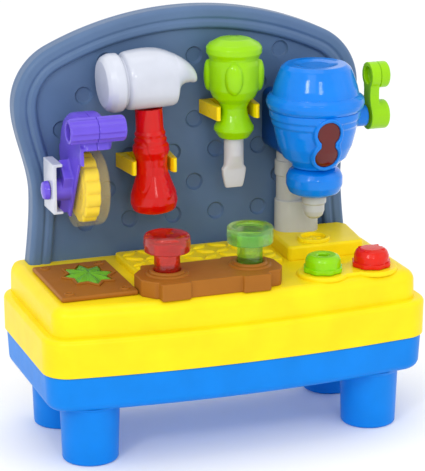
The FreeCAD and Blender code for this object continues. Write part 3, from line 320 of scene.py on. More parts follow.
def plastic(name, rgb, rough=0.35, grain=0.12, grain_size=0.5, vary=0.05, clear=0.0, coat=0.0, metal=0.0,
            shine=0.16, veil=1.0):
    """Moulded plastic: slightly uneven colour and gloss, and a fine skin texture.

    vary is the spread of the colour, clear the share of light let through, shine the strength of the mirror
    reflection, and veil the opacity: a clear part has it under 1, so that what is behind it shows.
    """
    mat = bpy.data.materials.new(name)
    mat.use_nodes = True
    tree = mat.node_tree
    shader = tree.nodes["Principled BSDF"]
    place = tree.nodes.new("ShaderNodeTexCoord")

    def noise(scale, detail):
        node = tree.nodes.new("ShaderNodeTexNoise")
        node.inputs["Scale"].default_value = scale
        node.inputs["Detail"].default_value = detail
        tree.links.new(place.outputs["Object"], node.inputs["Vector"])
        return node

    cloud = noise(38.0, 3.0)
    ramp = tree.nodes.new("ShaderNodeValToRGB")
    base = linear(rgb)
    ramp.color_ramp.elements[0].position = 0.3
    ramp.color_ramp.elements[1].position = 0.7
    ramp.color_ramp.elements[0].color = [c * (1 - vary) for c in base[:3]] + [1]
    ramp.color_ramp.elements[1].color = [min(1, c * (1 + vary)) for c in base[:3]] + [1]
    tree.links.new(cloud.outputs["Fac"], ramp.inputs["Fac"])
    tree.links.new(ramp.outputs["Color"], shader.inputs["Base Color"])
    sheen_noise = noise(120.0, 4.0)
    gloss = tree.nodes.new("ShaderNodeMapRange")
    gloss.inputs["To Min"].default_value = max(0.02, rough - 0.05)
    gloss.inputs["To Max"].default_value = rough + 0.07
    tree.links.new(sheen_noise.outputs["Fac"], gloss.inputs["Value"])
    tree.links.new(gloss.outputs["Result"], shader.inputs["Roughness"])
    skin = noise(1.0 / (grain_size * MM), 2.0)
    bump = tree.nodes.new("ShaderNodeBump")
    bump.inputs["Strength"].default_value = grain
    bump.inputs["Distance"].default_value = 0.1 * MM
    tree.links.new(skin.outputs["Fac"], bump.inputs["Height"])
    tree.links.new(bump.outputs["Normal"], shader.inputs["Normal"])
    shader.inputs["Transmission Weight"].default_value = clear
    shader.inputs["Coat Weight"].default_value = coat
    shader.inputs["Coat Roughness"].default_value = 0.08
    shader.inputs["Metallic"].default_value = metal
    shader.inputs["IOR"].default_value = PLASTIC_IOR
    shader.inputs["Specular IOR Level"].default_value = shine
    shader.inputs["Alpha"].default_value = veil
    return mat


finishes = {
    "tray_blue": plastic("tray_blue", (2, 126, 222), rough=0.36, grain=0.08),
    "yellow": plastic("yellow", (244, 217, 20), rough=0.34, grain=0.08),
    "slate": plastic("slate", (84, 110, 146), rough=0.36, grain=0.2, grain_size=0.7, shine=0.3),
    "brown": plastic("brown", (158, 98, 30), rough=0.40, grain=0.2, grain_size=0.6),
    "clear_red": plastic("clear_red", (240, 36, 18), rough=0.05, grain=0.03, clear=0.8, coat=0.3, shine=0.4,
                         veil=0.9),
    "clear_green": plastic("clear_green", (150, 240, 96), rough=0.05, grain=0.03, clear=0.9, coat=0.3,
                           shine=0.4, veil=0.72),
    "star_green": plastic("star_green", (132, 210, 62), rough=0.16, grain=0.03, clear=0.2, coat=0.2,
                          shine=0.3, veil=0.75),
    "clear_amber": plastic("clear_amber", (244, 226, 150), rough=0.03, grain=0.01, vary=0.02, coat=0.6,
                           shine=0.6, veil=0.16),
    "clear_grey": plastic("clear_grey", (206, 206, 210), rough=0.2, clear=0.1, grain=0.05, coat=0.1),
    "clear_dark_red": plastic("clear_dark_red", (92, 14, 12), rough=0.04, grain=0.02, coat=0.5, shine=0.2),
    "nut_green": plastic("nut_green", (138, 206, 6), rough=0.24, coat=0.15),
    "nut_red": plastic("nut_red", (214, 32, 16), rough=0.22, coat=0.15),
    "red": plastic("red", (208, 10, 4), rough=0.14, grain=0.03, coat=0.35),
    "lime": plastic("lime", (146, 206, 4), rough=0.18, grain=0.03, coat=0.25),
    "purple": plastic("purple", (104, 80, 208), rough=0.18, grain=0.05, coat=0.3),
    "white": plastic("white", (198, 202, 214), rough=0.18, grain=0.03, coat=0.25, shine=0.3),
    "drill_blue": plastic("drill_blue", (2, 122, 222), rough=0.14, grain=0.03, coat=0.3),
    "drill_dark": plastic("drill_dark", (4, 64, 138), rough=0.35),
    "clip_yellow": plastic("clip_yellow", (248, 216, 8), rough=0.28, coat=0.1),
    "pipe_grey": plastic("pipe_grey", (196, 199, 200), rough=0.18, coat=0.3, veil=0.86),
    "steel": plastic("steel", (176, 178, 184), rough=0.28, metal=1.0),
    "black": plastic("black", (26, 26, 28), rough=0.5),
    "board": plastic("board", (26, 92, 44), rough=0.45, vary=0.2),
    "cell": plastic("cell", (62, 66, 74), rough=0.3, vary=0.1),
}
slot_of = {entry["node"]: entry["material_slot"] for entry in frame["record"]["subparts"]}
for node, obj in frame["nodes"].items():
    obj.data.materials.clear()
    obj.data.materials.append(finishes[slot_of[node]])


def piece(obj, slot, body, *nodes, weighted=True):
    """Shows a piece in a finish of the table.  The star's own finish counts as the record's clear green."""
    return show(obj, finishes[slot], body, nodes, weighted)


# ---- bench --------------------------------------------------------------------------------
FRONT_CORNER = 22.0
BACK_CORNER = 15.0
TRAY_INSET = 2.0
TIER_INSET = 8.0
DOOR_GAP = 0.4


def bench_ring(inset, z, back_inset=None):
    """The bench's plan at one height: bowed front, rounded corners."""
    back_inset = inset if back_inset is None else back_inset
    hw = HALF_WIDTH - inset
    front = FRONT + inset
    back = BACK - back_inset
    r_front = max(FRONT_CORNER - inset, 4.0)
    r_back = max(BACK_CORNER - inset, 2.0)
    bow = [(hw * s, front - BOW * (1 - s * s), 900.0) for s in (-0.6, -0.3, 0.0, 0.3, 0.6)]
    outline = [(-hw, front, r_front)] + bow + [(hw, front, r_front), (hw, back, r_back), (-hw, back, r_back)]
    return [(p.x, p.y, z) for p in rounded(outline, closed=True, steps=8)]


def bench_loft(profile):
    """A solid from (inset, height) entries round the bench's plan."""
    return loft([bench_ring(*entry) for entry in profile])


def profile_rings(points, steps=6):
    """(inset, z) rings along a rounded profile."""
    return [(p.x, p.y) for p in rounded(points, steps=steps)]


def build_tray():
    rings = profile_rings([(40, TRAY_BOTTOM), (TRAY_INSET + 1.5, TRAY_BOTTOM, 8.0),
                           (TRAY_INSET, SEAM - 1, 0.6), (TRAY_INSET + 0.8, SEAM), (30, SEAM)])
    obj = raw("base_tray_shell", bench_loft(rings))
    door_lo, door_hi = span("battery_door")[1:]
    doorway = block(door_lo.x - DOOR_GAP, door_hi.x + DOOR_GAP, door_lo.y - DOOR_GAP, door_hi.y + DOOR_GAP,
                    TRAY_BOTTOM - 1, TRAY_BOTTOM + 3)
    speaker_mid = span("speaker")[0]
    holes = []
    for radius, count in ((5.5, 6), (11.0, 12)):
        for k in range(count):
            a = 2 * math.pi * k / count
            at = (speaker_mid.x + radius * math.cos(a), speaker_mid.y + radius * math.sin(a), 0)
            holes.append(turn([(0, TRAY_BOTTOM - 1), (1.5, TRAY_BOTTOM - 1), (1.5, TRAY_BOTTOM + 2.5),
                               (0, TRAY_BOTTOM + 2.5)], at, count=16))
    carve(obj, doorway, joined(*holes))
    piece(obj, "tray_blue", "bench", "base_tray")


def build_leg(node):
    mid = span(node)[0]
    top = TRAY_BOTTOM + 1.0
    profile = rounded([(0, 0.8), (15.0, 0.8, 0.6), (16.0, 0, 0.6), (22.2, 0, 2.2), (23.6, top - 3.5, 2.0),
                       (25.4, top - 0.8), (0, top)], steps=5)
    obj = raw(node + "_shell", turn(profile, (mid.x, mid.y, 0)))
    piece(obj, "tray_blue", "bench", node)


# The drill stands on this raised platform, drawn as (x, y).
PLATFORM_PLAN = [(62.5, 0.0), (129.0, 0.0), (135.0, 50.0), (129.0, 57.5), (66.0, 57.5)]


def leaf(x, y, z, angle, length=16.5, width=7.4, height=1.8):
    """One raised lozenge of the tread pattern, pointed at both ends."""
    rings = []
    count = 16
    for scale, rise in ((1.0, -0.4), (0.94, 0.35 * height), (0.78, 0.8 * height), (0.5, height)):
        ring = []
        for k in range(count):
            t = 2 * math.pi * k / count
            u = math.cos(t) * length / 2 * scale
            v = math.sin(t) * abs(math.sin(t)) * width / 2 * scale
            ring.append((x + u * math.cos(angle) - v * math.sin(angle),
                         y + u * math.sin(angle) + v * math.cos(angle), z + rise))
        rings.append(ring)
    return loft(rings)


def build_bench_top():
    rings = []
    for i, z in profile_rings([(30, SEAM), (0.4, SEAM, 0.5), (0, STEP, 8.0), (TIER_INSET, STEP)], steps=8):
        rings.append((i, z, min(i, 0.0)))
    for i, z in profile_rings([(TIER_INSET, STEP, 2.0), (TIER_INSET + 0.6, DECK, 9.0),
                               (TIER_INSET + 26, DECK)], steps=8):
        rings.append((i, z, 0.0))
    obj = raw("bench_top_shell", bench_loft(rings))
    red, green = span("red_peg")[0], span("green_peg")[0]
    well = span("star_button")
    shafts = [turn([(0, DECK - 12), (11.0, DECK - 12), (11.0, DECK + 3), (0, DECK + 3)], (p.x, p.y, 0),
                   count=48)
              for p in (red, green)]
    shafts.append(block(well[1].x - 0.6, well[2].x + 0.6, well[1].y - 0.6, well[2].y + 0.6, DECK - 12,
                        DECK + 3))
    carve(obj, joined(*shafts))
    piece(obj, "yellow", "bench", "bench_top")

    pad = raw("tread_pad", slab(rounded([(-68, -6), (56, -6), (56, 58), (-68, 58)], 4.0, closed=True),
                                DECK - 1, DECK + 5.0))
    piece(bevel(pad, 1.3), "yellow", "bench")
    leaves = []
    for column in range(8):
        for row in range(4):
            angle = math.radians(32 if (column + row) % 2 else -32)
            leaves.append(leaf(-58.5 + column * 15.2, 4.5 + row * 14.5, DECK + 5.0, angle))
    piece(raw("tread_leaves", joined(*leaves)), "yellow", "bench")

    platform = raw("drill_platform", slab(rounded(PLATFORM_PLAN, 4.0, closed=True), DECK - 1, PLATFORM))
    piece(bevel(platform, 2.2, 4), "yellow", "bench")
    spindle = span("drill_bit")[0]
    ring = turn(rounded([(10.2, 0.0), (10.2, 2.9, 0.8), (13.2, 2.9, 0.9), (13.4, 0.0), (10.2, -0.5)],
                        steps=4),
                (spindle.x, spindle.y, PLATFORM), closed=True)
    x, y, low, high = spindle.x, spindle.y, PLATFORM - 0.5, PLATFORM + 1.4
    long, half = 6, 1.3  # the raised cross under the bit
    bars = [block(x - long, x + long, y - half, y + half, low, high),
            block(x - half, x + half, y - long, y - half, low, high),
            block(x - half, x + half, y + half, y + long, low, high)]
    piece(bevel(raw("bit_target", joined(ring, *bars)), 0.4), "yellow", "bench")

    a, b = span("green_nut")[0], span("red_nut")[0]
    plan = []
    for centre, start, end in ((a, 42, 318), (b, 222, 498)):
        for k in range(25):
            t = math.radians(start + (end - start) * k / 24)
            plan.append((centre.x + 21 * math.cos(t), centre.y + 21 * math.sin(t)))
    boss = raw("nut_boss", slab(plan, DECK - 1, DECK + 3.0), angle=50)
    piece(bevel(boss, 1.5, 4, angle=50), "yellow", "bench")


# ---- star button --------------------------------------------------------------------------
star_mid, star_lo, star_hi = span("star_button")
plate_lo, plate_hi = span("button_plate")[1:]
STAR = Vector((star_mid.x, star_mid.y))
STAR_OUTER, STAR_INNER, STAR_STRETCH = 20.0, 14.0, 1.35
STAR_TIPS = 8
PLATE_TOP = DECK + 4.0


def star_plan(outer, inner, per_side=1):
    """An eight-pointed star, longer front to back."""
    corners = []
    for i in range(2 * STAR_TIPS):
        r = outer if i % 2 == 0 else inner
        a = math.pi * i / STAR_TIPS
        corners.append(Vector((STAR.x + r * math.cos(a), STAR.y + STAR_STRETCH * r * math.sin(a))))
    out = []
    for i, corner in enumerate(corners):
        after = corners[(i + 1) % (2 * STAR_TIPS)]
        out += [corner.lerp(after, k / per_side) for k in range(per_side)]
    return out


def build_star():
    plate = raw("button_plate_body", block(plate_lo.x, plate_hi.x, plate_lo.y, plate_hi.y, DECK, PLATE_TOP))
    settle(bevel(plate, 1.6, 4))
    lip = raw("lip", slab(star_plan(STAR_OUTER + 2.8, STAR_INNER + 2.8), PLATE_TOP - 0.5, PLATE_TOP + 1.4))
    settle(bevel(lip, 0.6, 3))
    lip_geometry = ([tuple(v.co / MM) for v in lip.data.vertices],
                    [list(p.vertices) for p in lip.data.polygons])
    bpy.data.objects.remove(lip)
    window = slab(star_plan(STAR_OUTER + 0.5, STAR_INNER + 0.5), DECK - 2, PLATE_TOP + 4)
    carve(plate, window)
    piece(plate, "brown", "bench", "button_plate")
    ring = raw("star_lip", lip_geometry)
    carve(ring, window)
    piece(ring, "brown", "bench")
    rivets = []
    for x in (plate_lo.x + 8.5, plate_hi.x - 8.5):
        for y in (plate_lo.y + 8.5, plate_hi.y - 8.5):
            rivets.append(turn(rounded([(1.9, 0.1), (2.1, 1.1, 0.5), (4.0, 1.1, 0.8), (4.4, -0.3),
                                        (1.9, -0.3)], steps=4), (x, y, PLATE_TOP), closed=True, count=40))
            rivets.append(turn(rounded([(0, 0.7), (1.3, 0.6, 0.4), (1.7, -0.2), (0, -0.3)], steps=3),
                               (x, y, PLATE_TOP), count=32))
    piece(raw("plate_rivets", joined(*rivets)), "brown", "bench")

    rings = []
    per_side = 6
    for scale, height in ((1.0, -4.0), (1.0, -0.4), (0.98, 0.2), (0.93, 0.6), (0.8, 1.0), (0.62, 1.5),
                          (0.4, 1.9), (0.2, 2.1), (0.05, 2.1)):
        ring = []
        for p in star_plan(STAR_OUTER, STAR_INNER, per_side):
            offset = (p - STAR) * scale
            angle = math.atan2(offset.y / STAR_STRETCH, offset.x)
            rib = 0.9 * abs(math.cos(4 * angle)) ** 2 * min(1.0, (1 - scale) * 8) * min(1.0, scale * 4)
            ring.append((STAR.x + offset.x, STAR.y + offset.y, PLATE_TOP + height + rib))
        rings.append(ring)
    skirt = block(star_lo.x + 0.3, star_hi.x - 0.3, star_lo.y + 0.3, star_hi.y - 0.3, DECK - 3.3, DECK - 0.4)
    body = raw("star_button_body", joined(loft(rings), skirt))
    piece(body, "star_green", "star_button", "star_button")


# ---- peg beam and pegs --------------------------------------------------------------------
red_mid = span("red_peg")[0]
green_mid = span("green_peg")[0]
BEAM_Y = span("peg_beam")[0].y
BEAM_HEIGHT = 13.3
BEAM_TOP = DECK + BEAM_HEIGHT
PEG_HEAD_HEIGHT = 13.5


def build_beam():
    red_x, green_x = red_mid.x, green_mid.x
    mid, collar, tip = 25.0, 28.0, 9.0
    a, b, c = red_x - 25, red_x - 14, red_x + 10
    d, e, f = green_x - 16, green_x + 7, green_x + 23
    half = [(a, tip, 2), (a + 8, mid - 6, 4), (b, mid - 5, 1), (b, collar, 1.5), (c, collar, 1.5),
            (c, mid, 1), (d, mid, 1), (d, collar, 1.5), (e, collar, 1.5), (e, mid - 4, 1),
            (f - 5, mid - 6, 4), (f, tip, 2)]
    outline = [(x, BEAM_Y - y, r) for x, y, r in half] + [(x, BEAM_Y + y, r) for x, y, r in reversed(half)]
    beam = raw("peg_beam_body", slab(rounded(outline, closed=True, steps=4), DECK - 0.2, BEAM_TOP), angle=40)
    settle(bevel(beam, 1.1, 4, angle=50))
    bores = [turn([(0, DECK - 5), (10.8, DECK - 5), (10.8, BEAM_TOP + 5), (0, BEAM_TOP + 5)], (p.x, p.y, 0))
             for p in (red_mid, green_mid)]
    carve(beam, joined(*bores))
    piece(beam, "brown", "bench", "peg_beam")
    for name, p in (("red", red_mid), ("green", green_mid)):
        profile = rounded([(10.75, -1.0), (10.75, 3.2, 0.7), (13.2, 3.2, 0.9), (14.0, 1.5, 0.6),
                           (16.0, 1.4, 0.8), (17.6, -0.6), (17.6, -1.0)], steps=4)
        piece(raw("socket_" + name, turn(profile, (p.x, p.y, BEAM_TOP), closed=True)), "brown", "bench")


def build_peg(node, slot, dished):
    """A peg with its hammer head: the green one has a dished top, the red one a domed top."""
    mid, lo, hi = span(node)
    top = hi.z - (0.0 if dished else 2.2)
    head = top - PEG_HEAD_HEIGHT
    if dished:
        crown = [(18.3, top, 2.0), (14.6, top - 0.4, 1.0), (12.4, top - 1.0, 0.8), (11.0, top - 2.2, 1.2),
                 (0, top - 2.6)]
    else:
        crown = [(18.2, top - 0.4, 3.2), (14.0, top + 0.9, 4.0), (8.0, top + 2.0, 6.0), (0, top + 2.2)]
    outer = [(0, lo.z), (12.2, lo.z, 0.6), (12.2, lo.z + 3, 0.6), (10.3, lo.z + 3, 0.4),
             (10.3, top - 4.6, 1.2), (15.9, top - 4.6, 0.8), (16.2, head, 0.8), (18.2, head, 1.2),
             (18.5, head + 6, 2.0)] + crown
    profile = rounded(outer, steps=5)
    piece(raw(node + "_body", turn(profile, (mid.x, mid.y, 0))), slot, node, node)


# ---- nuts ---------------------------------------------------------------------------------
NUT_CLEARANCE = 3.35  # the flange turns this far above the deck, over the boss


def wave(lobes, depth):
    """A rule for turn that puts rounded lobes on the flange's rim only."""
    def rim(angle, radius, height):
        return radius + depth * (0.5 + 0.5 * math.cos(lobes * angle)) * (radius > 14.4)

    return rim


def build_nut(node, slot, domed):
    """A lobed toy nut and its stem: the red one is domed with ridges, the green one has a socket."""
    mid = span(node)[0]
    at = (mid.x, mid.y, DECK + NUT_CLEARANCE)
    skirt = rounded([(0, 0), (14.7, 0, 0.8), (15.0, 3.9, 1.1), (14.3, 4.0)], steps=4)
    flange = turn(skirt + [Vector((0, 4.05))], at, shape=wave(8, 1.2), count=128)
    if domed:
        crown = rounded([(0, 3.5), (14.3, 3.5), (14.1, 9, 3.0), (12.4, 12.8, 3.0), (8.5, 14.6, 3.0),
                         (0, 15.1)], steps=5)
        ridges = []
        for dy in (-6.3, -2.1, 2.1, 6.3):
            reach = math.sqrt(11.0 ** 2 - dy ** 2)
            outline = rounded([(-reach, -0.8), (reach, -0.8), (reach, 0.8), (-reach, 0.8)], 0.75, closed=True)
            rings = []
            for inset, z in ((1.0, 11.5), (1.0, 15.4), (0.75, 15.8), (0.45, 15.9)):
                rings.append([(at[0] + p.x, at[1] + dy + p.y * inset, at[2] + z - 0.018 * p.x ** 2)
                              for p in outline])
            ridges.append(loft(rings))
        geometry = joined(flange, turn(crown, at), *ridges)
    else:
        crown = rounded([(0, 3.5), (14.3, 3.5), (14.1, 9.5, 3.0), (12.9, 12.3, 2.0), (10.2, 13.6, 1.5),
                         (5.4, 13.5, 0.8), (4.2, 12.5, 0.6), (4.2, 5.0, 0.5), (0, 5.0)], steps=5)
        geometry = joined(flange, turn(crown, at))
    piece(raw(node + "_body", geometry), slot, node)
    stem = turn(rounded([(0, 121), (5.0, 121, 0.5), (5.0, 135), (0, 135)], steps=3), (mid.x, mid.y, 0),
                count=48)
    piece(raw(node + "_stem", stem), slot, node, node)


# ---- back panel ---------------------------------------------------------------------------
PANEL_TOP = span("back_panel")[2].z
SHOULDER_X, SHOULDER_Z, SHOULDER_R = 95.5, 260.5, 52.5
SHOULDER_ANGLE = math.radians(26.0)
WAIST_X, WAIST_Z, FOOT_X = 134.5, 188.0, 139.0
SCREW_SEAT = 3.2


def panel_path(inset):
    """The panel's outline from its left foot over the crown to its right foot, as (x, z)."""
    r = SHOULDER_R - inset
    top_x = SHOULDER_X + r * math.sin(SHOULDER_ANGLE)
    top_z = SHOULDER_Z + r * math.cos(SHOULDER_ANGLE)
    side_x = SHOULDER_X + r
    rise = PANEL_TOP - inset - top_z
    crown_r = (top_x ** 2 + rise ** 2) / (2 * rise)
    crown_z = PANEL_TOP - inset - crown_r
    right = []
    spread = math.asin(top_x / crown_r)
    for k in range(24):
        a = spread * k / 24
        right.append((crown_r * math.sin(a), crown_z + crown_r * math.cos(a)))
    for k in range(21):
        a = SHOULDER_ANGLE + (math.pi / 2 - SHOULDER_ANGLE) * k / 20
        right.append((SHOULDER_X + r * math.sin(a), SHOULDER_Z + r * math.cos(a)))
    waist, foot = WAIST_X - inset, FOOT_X - inset
    knots = [Vector((side_x, SHOULDER_Z)), Vector((waist, WAIST_Z)), Vector((foot, DECK - 0.5))]
    slopes = [0.0, 0.0, (foot - waist) / (WAIST_Z - DECK) * -1.6]
    for i in (0, 1):
        p, q = knots[i], knots[i + 1]
        drop = q.y - p.y
        for k in range(1, 17):
            s = k / 16
            h = hermite(s)
            x = h[0] * p.x + h[1] * drop * slopes[i] + h[2] * q.x + h[3] * drop * slopes[i + 1]
            right.append((x, p.y + drop * s))
    left = [(-x, z) for x, z in reversed(right[1:])]
    return left + right


def panel_solid(profile):
    """A closed solid from (inset, y) rings that run round the panel; the bottom is flat."""
    rings = [[(x, y, z) for x, z in panel_path(inset)] for inset, y in profile]
    verts = [p for ring in rings for p in ring]
    n = len(rings[0])
    faces = []
    for r in range(len(rings) - 1):
        for k in range(n - 1):
            faces.append([r * n + k, r * n + k + 1, (r + 1) * n + k + 1, (r + 1) * n + k])
    last = (len(rings) - 1) * n
    faces.append([last + k for k in range(n)])
    faces.append(list(range(n))[::-1])
    faces.append([r * n for r in range(len(rings))] + [r * n + n - 1 for r in reversed(range(len(rings)))])
    return verts, faces


DIMPLE_BOTTOM, DIMPLE_RISE, DIMPLE_PITCH = 161.0, 26.5, 37.5


def dimple_places():
    """The staggered dimples that stay clear of the panel's rim, as (x, z)."""
    places = []
    for row in range(6):
        z = DIMPLE_BOTTOM + row * DIMPLE_RISE
        shift = 0.5 if row % 2 == 0 else 0.0
        for column in range(-4, 4):
            x = 4.0 + (column + shift) * DIMPLE_PITCH
            limit = 104.0 if row < 5 else 84.0
            if abs(x) < limit + 12.0 * (row in (3, 4)):
                places.append((x, z))
    return places


def build_panel():
    rim = rounded([(0, PANEL_SPLIT - 0.1), (0.0, 69.5, 0.5), (0.0, PANEL_FRONT + 0.2, 6.0),
                   (8.6, PANEL_FRONT, 3.0), (10.6, PANEL_FRONT + 1.3, 1.6), (12.8, PANEL_FRONT, 3.0),
                   (18.0, PANEL_FRONT, 3.0), (18.8, FIELD, 1.8), (22.0, FIELD)], steps=6)
    obj = raw("back_panel_body", panel_solid([(p.x, p.y) for p in rim]))
    dish = rounded([(0, 2.2), (5.9, 2.2, 0.9), (7.0, 0.7, 0.8), (7.4, -0.1, 0.4), (8.2, -0.5), (0, -0.5)],
                   steps=4)
    carve(obj, joined(*[turn(dish, (x, FIELD, z), axis="y", count=40) for x, z in dimple_places()]))
    piece(obj, "slate", "bench", "back_panel")
    cover = rounded([(0.6, PANEL_SPLIT), (0.0, PANEL_SPLIT + 0.6, 0.5), (0.0, BACK, 4.0), (14.0, BACK, 1.0),
                     (15.5, BACK - 1.2, 1.0), (24.0, BACK - 1.2)], steps=5)
    back = raw("panel_cover_body", panel_solid([(p.x, p.y) for p in cover]))
    holes = []
    for x, z in islands("panel_screws"):
        seat = [(0, BACK - 2.2), (SCREW_SEAT, BACK - 2.2), (SCREW_SEAT, BACK + 1), (0, BACK + 1)]
        holes.append(turn(seat, (x, 0, z), axis="y", count=32))
    carve(back, joined(*holes))
    piece(back, "slate", "bench", "panel_rear_cover")


def islands(node):
    """Where each separate solid of a CAD node is, as (x, z) centres in a fixed order."""
    bm = bmesh.new()
    bm.from_mesh(frame["nodes"][node].data)
    bmesh.ops.remove_doubles(bm, verts=bm.verts, dist=1e-6)
    left = set(bm.verts)
    places = []
    while left:
        stack = [left.pop()]
        group = []
        while stack:
            v = stack.pop()
            group.append(v.co.copy())
            for e in v.link_edges:
                other = e.other_vert(v)
                if other in left:
                    left.remove(other)
                    stack.append(other)
        xs = [c.x for c in group]
        zs = [c.z for c in group]
        places.append(((min(xs) + max(xs)) / 2 / MM, (min(zs) + max(zs)) / 2 / MM))
    bm.free()
    return sorted(places)


def build_clip(node):
    """A back plate with two springy arms that open towards the front."""
    mid, lo, hi = span(node)
    gap = (hi.x - lo.x) / 2 - 8.0
    parts = [block(mid.x - gap - 6, mid.x + gap + 6, FIELD - 2.6, FIELD, lo.z, hi.z)]
    for s in (-1, 1):
        outline = [(mid.x + s * gap, FIELD), (mid.x + s * gap, lo.y + 4, 2.5),
                   (mid.x + s * (gap + 1.6), lo.y, 1.6), (mid.x + s * (gap + 4.5), lo.y + 0.8, 2.4),
                   (mid.x + s * (gap + 8), FIELD)]
        parts.append(slab([(p.x, p.y) for p in rounded(outline, closed=True, steps=4)], lo.z, hi.z))
    obj = raw(node + "_body", joined(*parts))
    piece(bevel(obj, 2.6, 5), "clip_yellow", "bench", node)


# ---- hammer -------------------------------------------------------------------------------
HANDLE_X = -44.0
HAMMER = Vector((HANDLE_X, span("hammer_head")[0].y, 283.3))
HAMMER_TILT = Matrix.Rotation(math.radians(-3.0), 4, "Y")
HAMMER_PIVOT = Vector((HANDLE_X, HAMMER.y, 259.0))
HEAD_START = 41.0  # the head's profile starts this far left of the handle's axis
BUMP_HALF_ANGLE, BUMPS_LOW, BUMPS_HIGH, BUMP_PITCH = 0.16, 186, 224, 6.3


def tilted(geometry):
    """The hammer hangs slightly turned in its clip."""
    verts, faces = geometry
    return [tuple(HAMMER_PIVOT + HAMMER_TILT @ (Vector(v) - HAMMER_PIVOT)) for v in verts], faces


def smooth_between(knots, x):
    """A smooth curve of tuples of values through (x, values...) knots, without overshoot."""
    last = len(knots) - 1
    i = min(max(sum(1 for k in knots[1:] if k[0] < x), 0), last - 1)
    a, b = knots[i], knots[i + 1]
    width = b[0] - a[0]
    s = min(max((x - a[0]) / width, 0.0), 1.0)
    out = []
    for c in range(1, len(a)):
        rise = [(knots[k + 1][c] - knots[k][c]) / (knots[k + 1][0] - knots[k][0]) for k in range(last)]

        def slope(k):
            if k in (0, last):
                return rise[min(k, last - 1)]
            p, q = rise[k - 1], rise[k]
            return 0.0 if p * q <= 0 else 2 * p * q / (p + q)

        h = hermite(s)
        out.append(h[0] * a[c] + h[1] * width * slope(i) + h[2] * b[c] + h[3] * width * slope(i + 1))
    return out


def build_hammer():
    left = HAMMER.x - HEAD_START
    drum = rounded([(0, 3.4), (18.5, 3.6, 2.0), (21.6, 5.6, 3.5), (23.6, 10.6, 5.0), (23.4, 17.4, 3.0),
                    (20.0, 19.4, 1.6), (19.6, 21, 1.0), (19.6, 26), (0, 26)], steps=7)
    geometry = [turn(drum, (left, HAMMER.y, HAMMER.z), axis="x", count=112)]
    knots = [  # along x: top, bottom, half depth, squareness
        (21.0, 20.0, -20.0, 20.0, 2.0), (22.6, 22.8, -22.6, 22.4, 2.05), (26.0, 23.7, -23.2, 23.4, 2.1),
        (39.0, 24.4, -23.3, 23.5, 2.3), (49.6, 23.4, -23.4, 22.6, 2.5), (58.0, 20.8, -23.4, 20.6, 2.6),
        (61.0, 19.4, -22.6, 19.8, 2.6), (62.4, 18.7, -19.4, 19.2, 2.5), (63.4, 18.2, -13.6, 18.6, 2.5),
        (66.7, 16.4, -8.6, 17.2, 2.4), (71.0, 13.4, -6.8, 15.0, 2.4), (75.0, 10.2, -6.8, 12.4, 2.3),
        (79.0, 5.6, -7.6, 9.6, 2.2), (81.0, 2.0, -7.4, 7.0, 2.1), (82.0, -1.4, -5.8, 4.0, 2.0)]
    rings = []
    for k in range(130):
        x = knots[0][0] + (knots[-1][0] - knots[0][0]) * k / 129
        top, bottom, depth, power = smooth_between(knots, x)
        rings.append([(left + x, HAMMER.y + u * depth, HAMMER.z + (top + bottom) / 2 + v * (top - bottom) / 2)
                      for u, v in squared_circle(power, 72)])
    geometry.append(loft(rings))
    obj = raw("hammer_head_body", tilted(joined(*geometry)), angle=60)
    piece(obj, "white", "hammer", "hammer_head", weighted=False)

    profile = rounded([(0, 173.0), (11, 173.2, 2.0), (17.3, 175.6, 3.5), (19.3, 182, 5.0), (18.6, 189, 6.0),
                       (15.6, 198, 8.0), (13.0, 206, 6.0), (12.3, 212, 6.0), (13.2, 219, 6.0),
                       (15.0, 225, 3.0), (14.6, 229, 1.5), (13.0, 231, 0.8), (13.4, 234, 1.0),
                       (12.0, 236.2, 0.8), (12.7, 239, 1.0), (11.4, 241.4, 0.8), (11.2, 244, 1.0),
                       (11.1, 259.5), (0, 259.5)], steps=5)
    profile = finer(profile, 1.1)

    def grip(angle, radius, height):
        """An engraved oval towards the camera of the photo, and a row of finger bumps."""
        out = radius
        facing = math.radians(-140)
        around = angle_from(angle, facing)
        oval = math.hypot(around * radius / 7.5, (height - 213) / 21.0)
        out -= 0.6 * math.exp(-((oval - 1) / 0.07) ** 2)
        side = angle_from(angle, -1.13)
        if abs(side) < BUMP_HALF_ANGLE and BUMPS_LOW < height < BUMPS_HIGH:
            across = math.cos(side / BUMP_HALF_ANGLE * math.pi / 2)
            out += 0.9 * across * abs(math.sin((height - BUMPS_LOW) * math.pi / BUMP_PITCH)) ** 1.5
        return out

    obj = raw("hammer_handle_body", tilted(turn(profile, (HAMMER.x, HAMMER.y, 0), count=144, shape=grip)),
              angle=70)
    piece(obj, "red", "hammer", "hammer_handle", weighted=False)


# ---- screwdriver --------------------------------------------------------------------------
DRIVER = span("screwdriver_blade")[0]


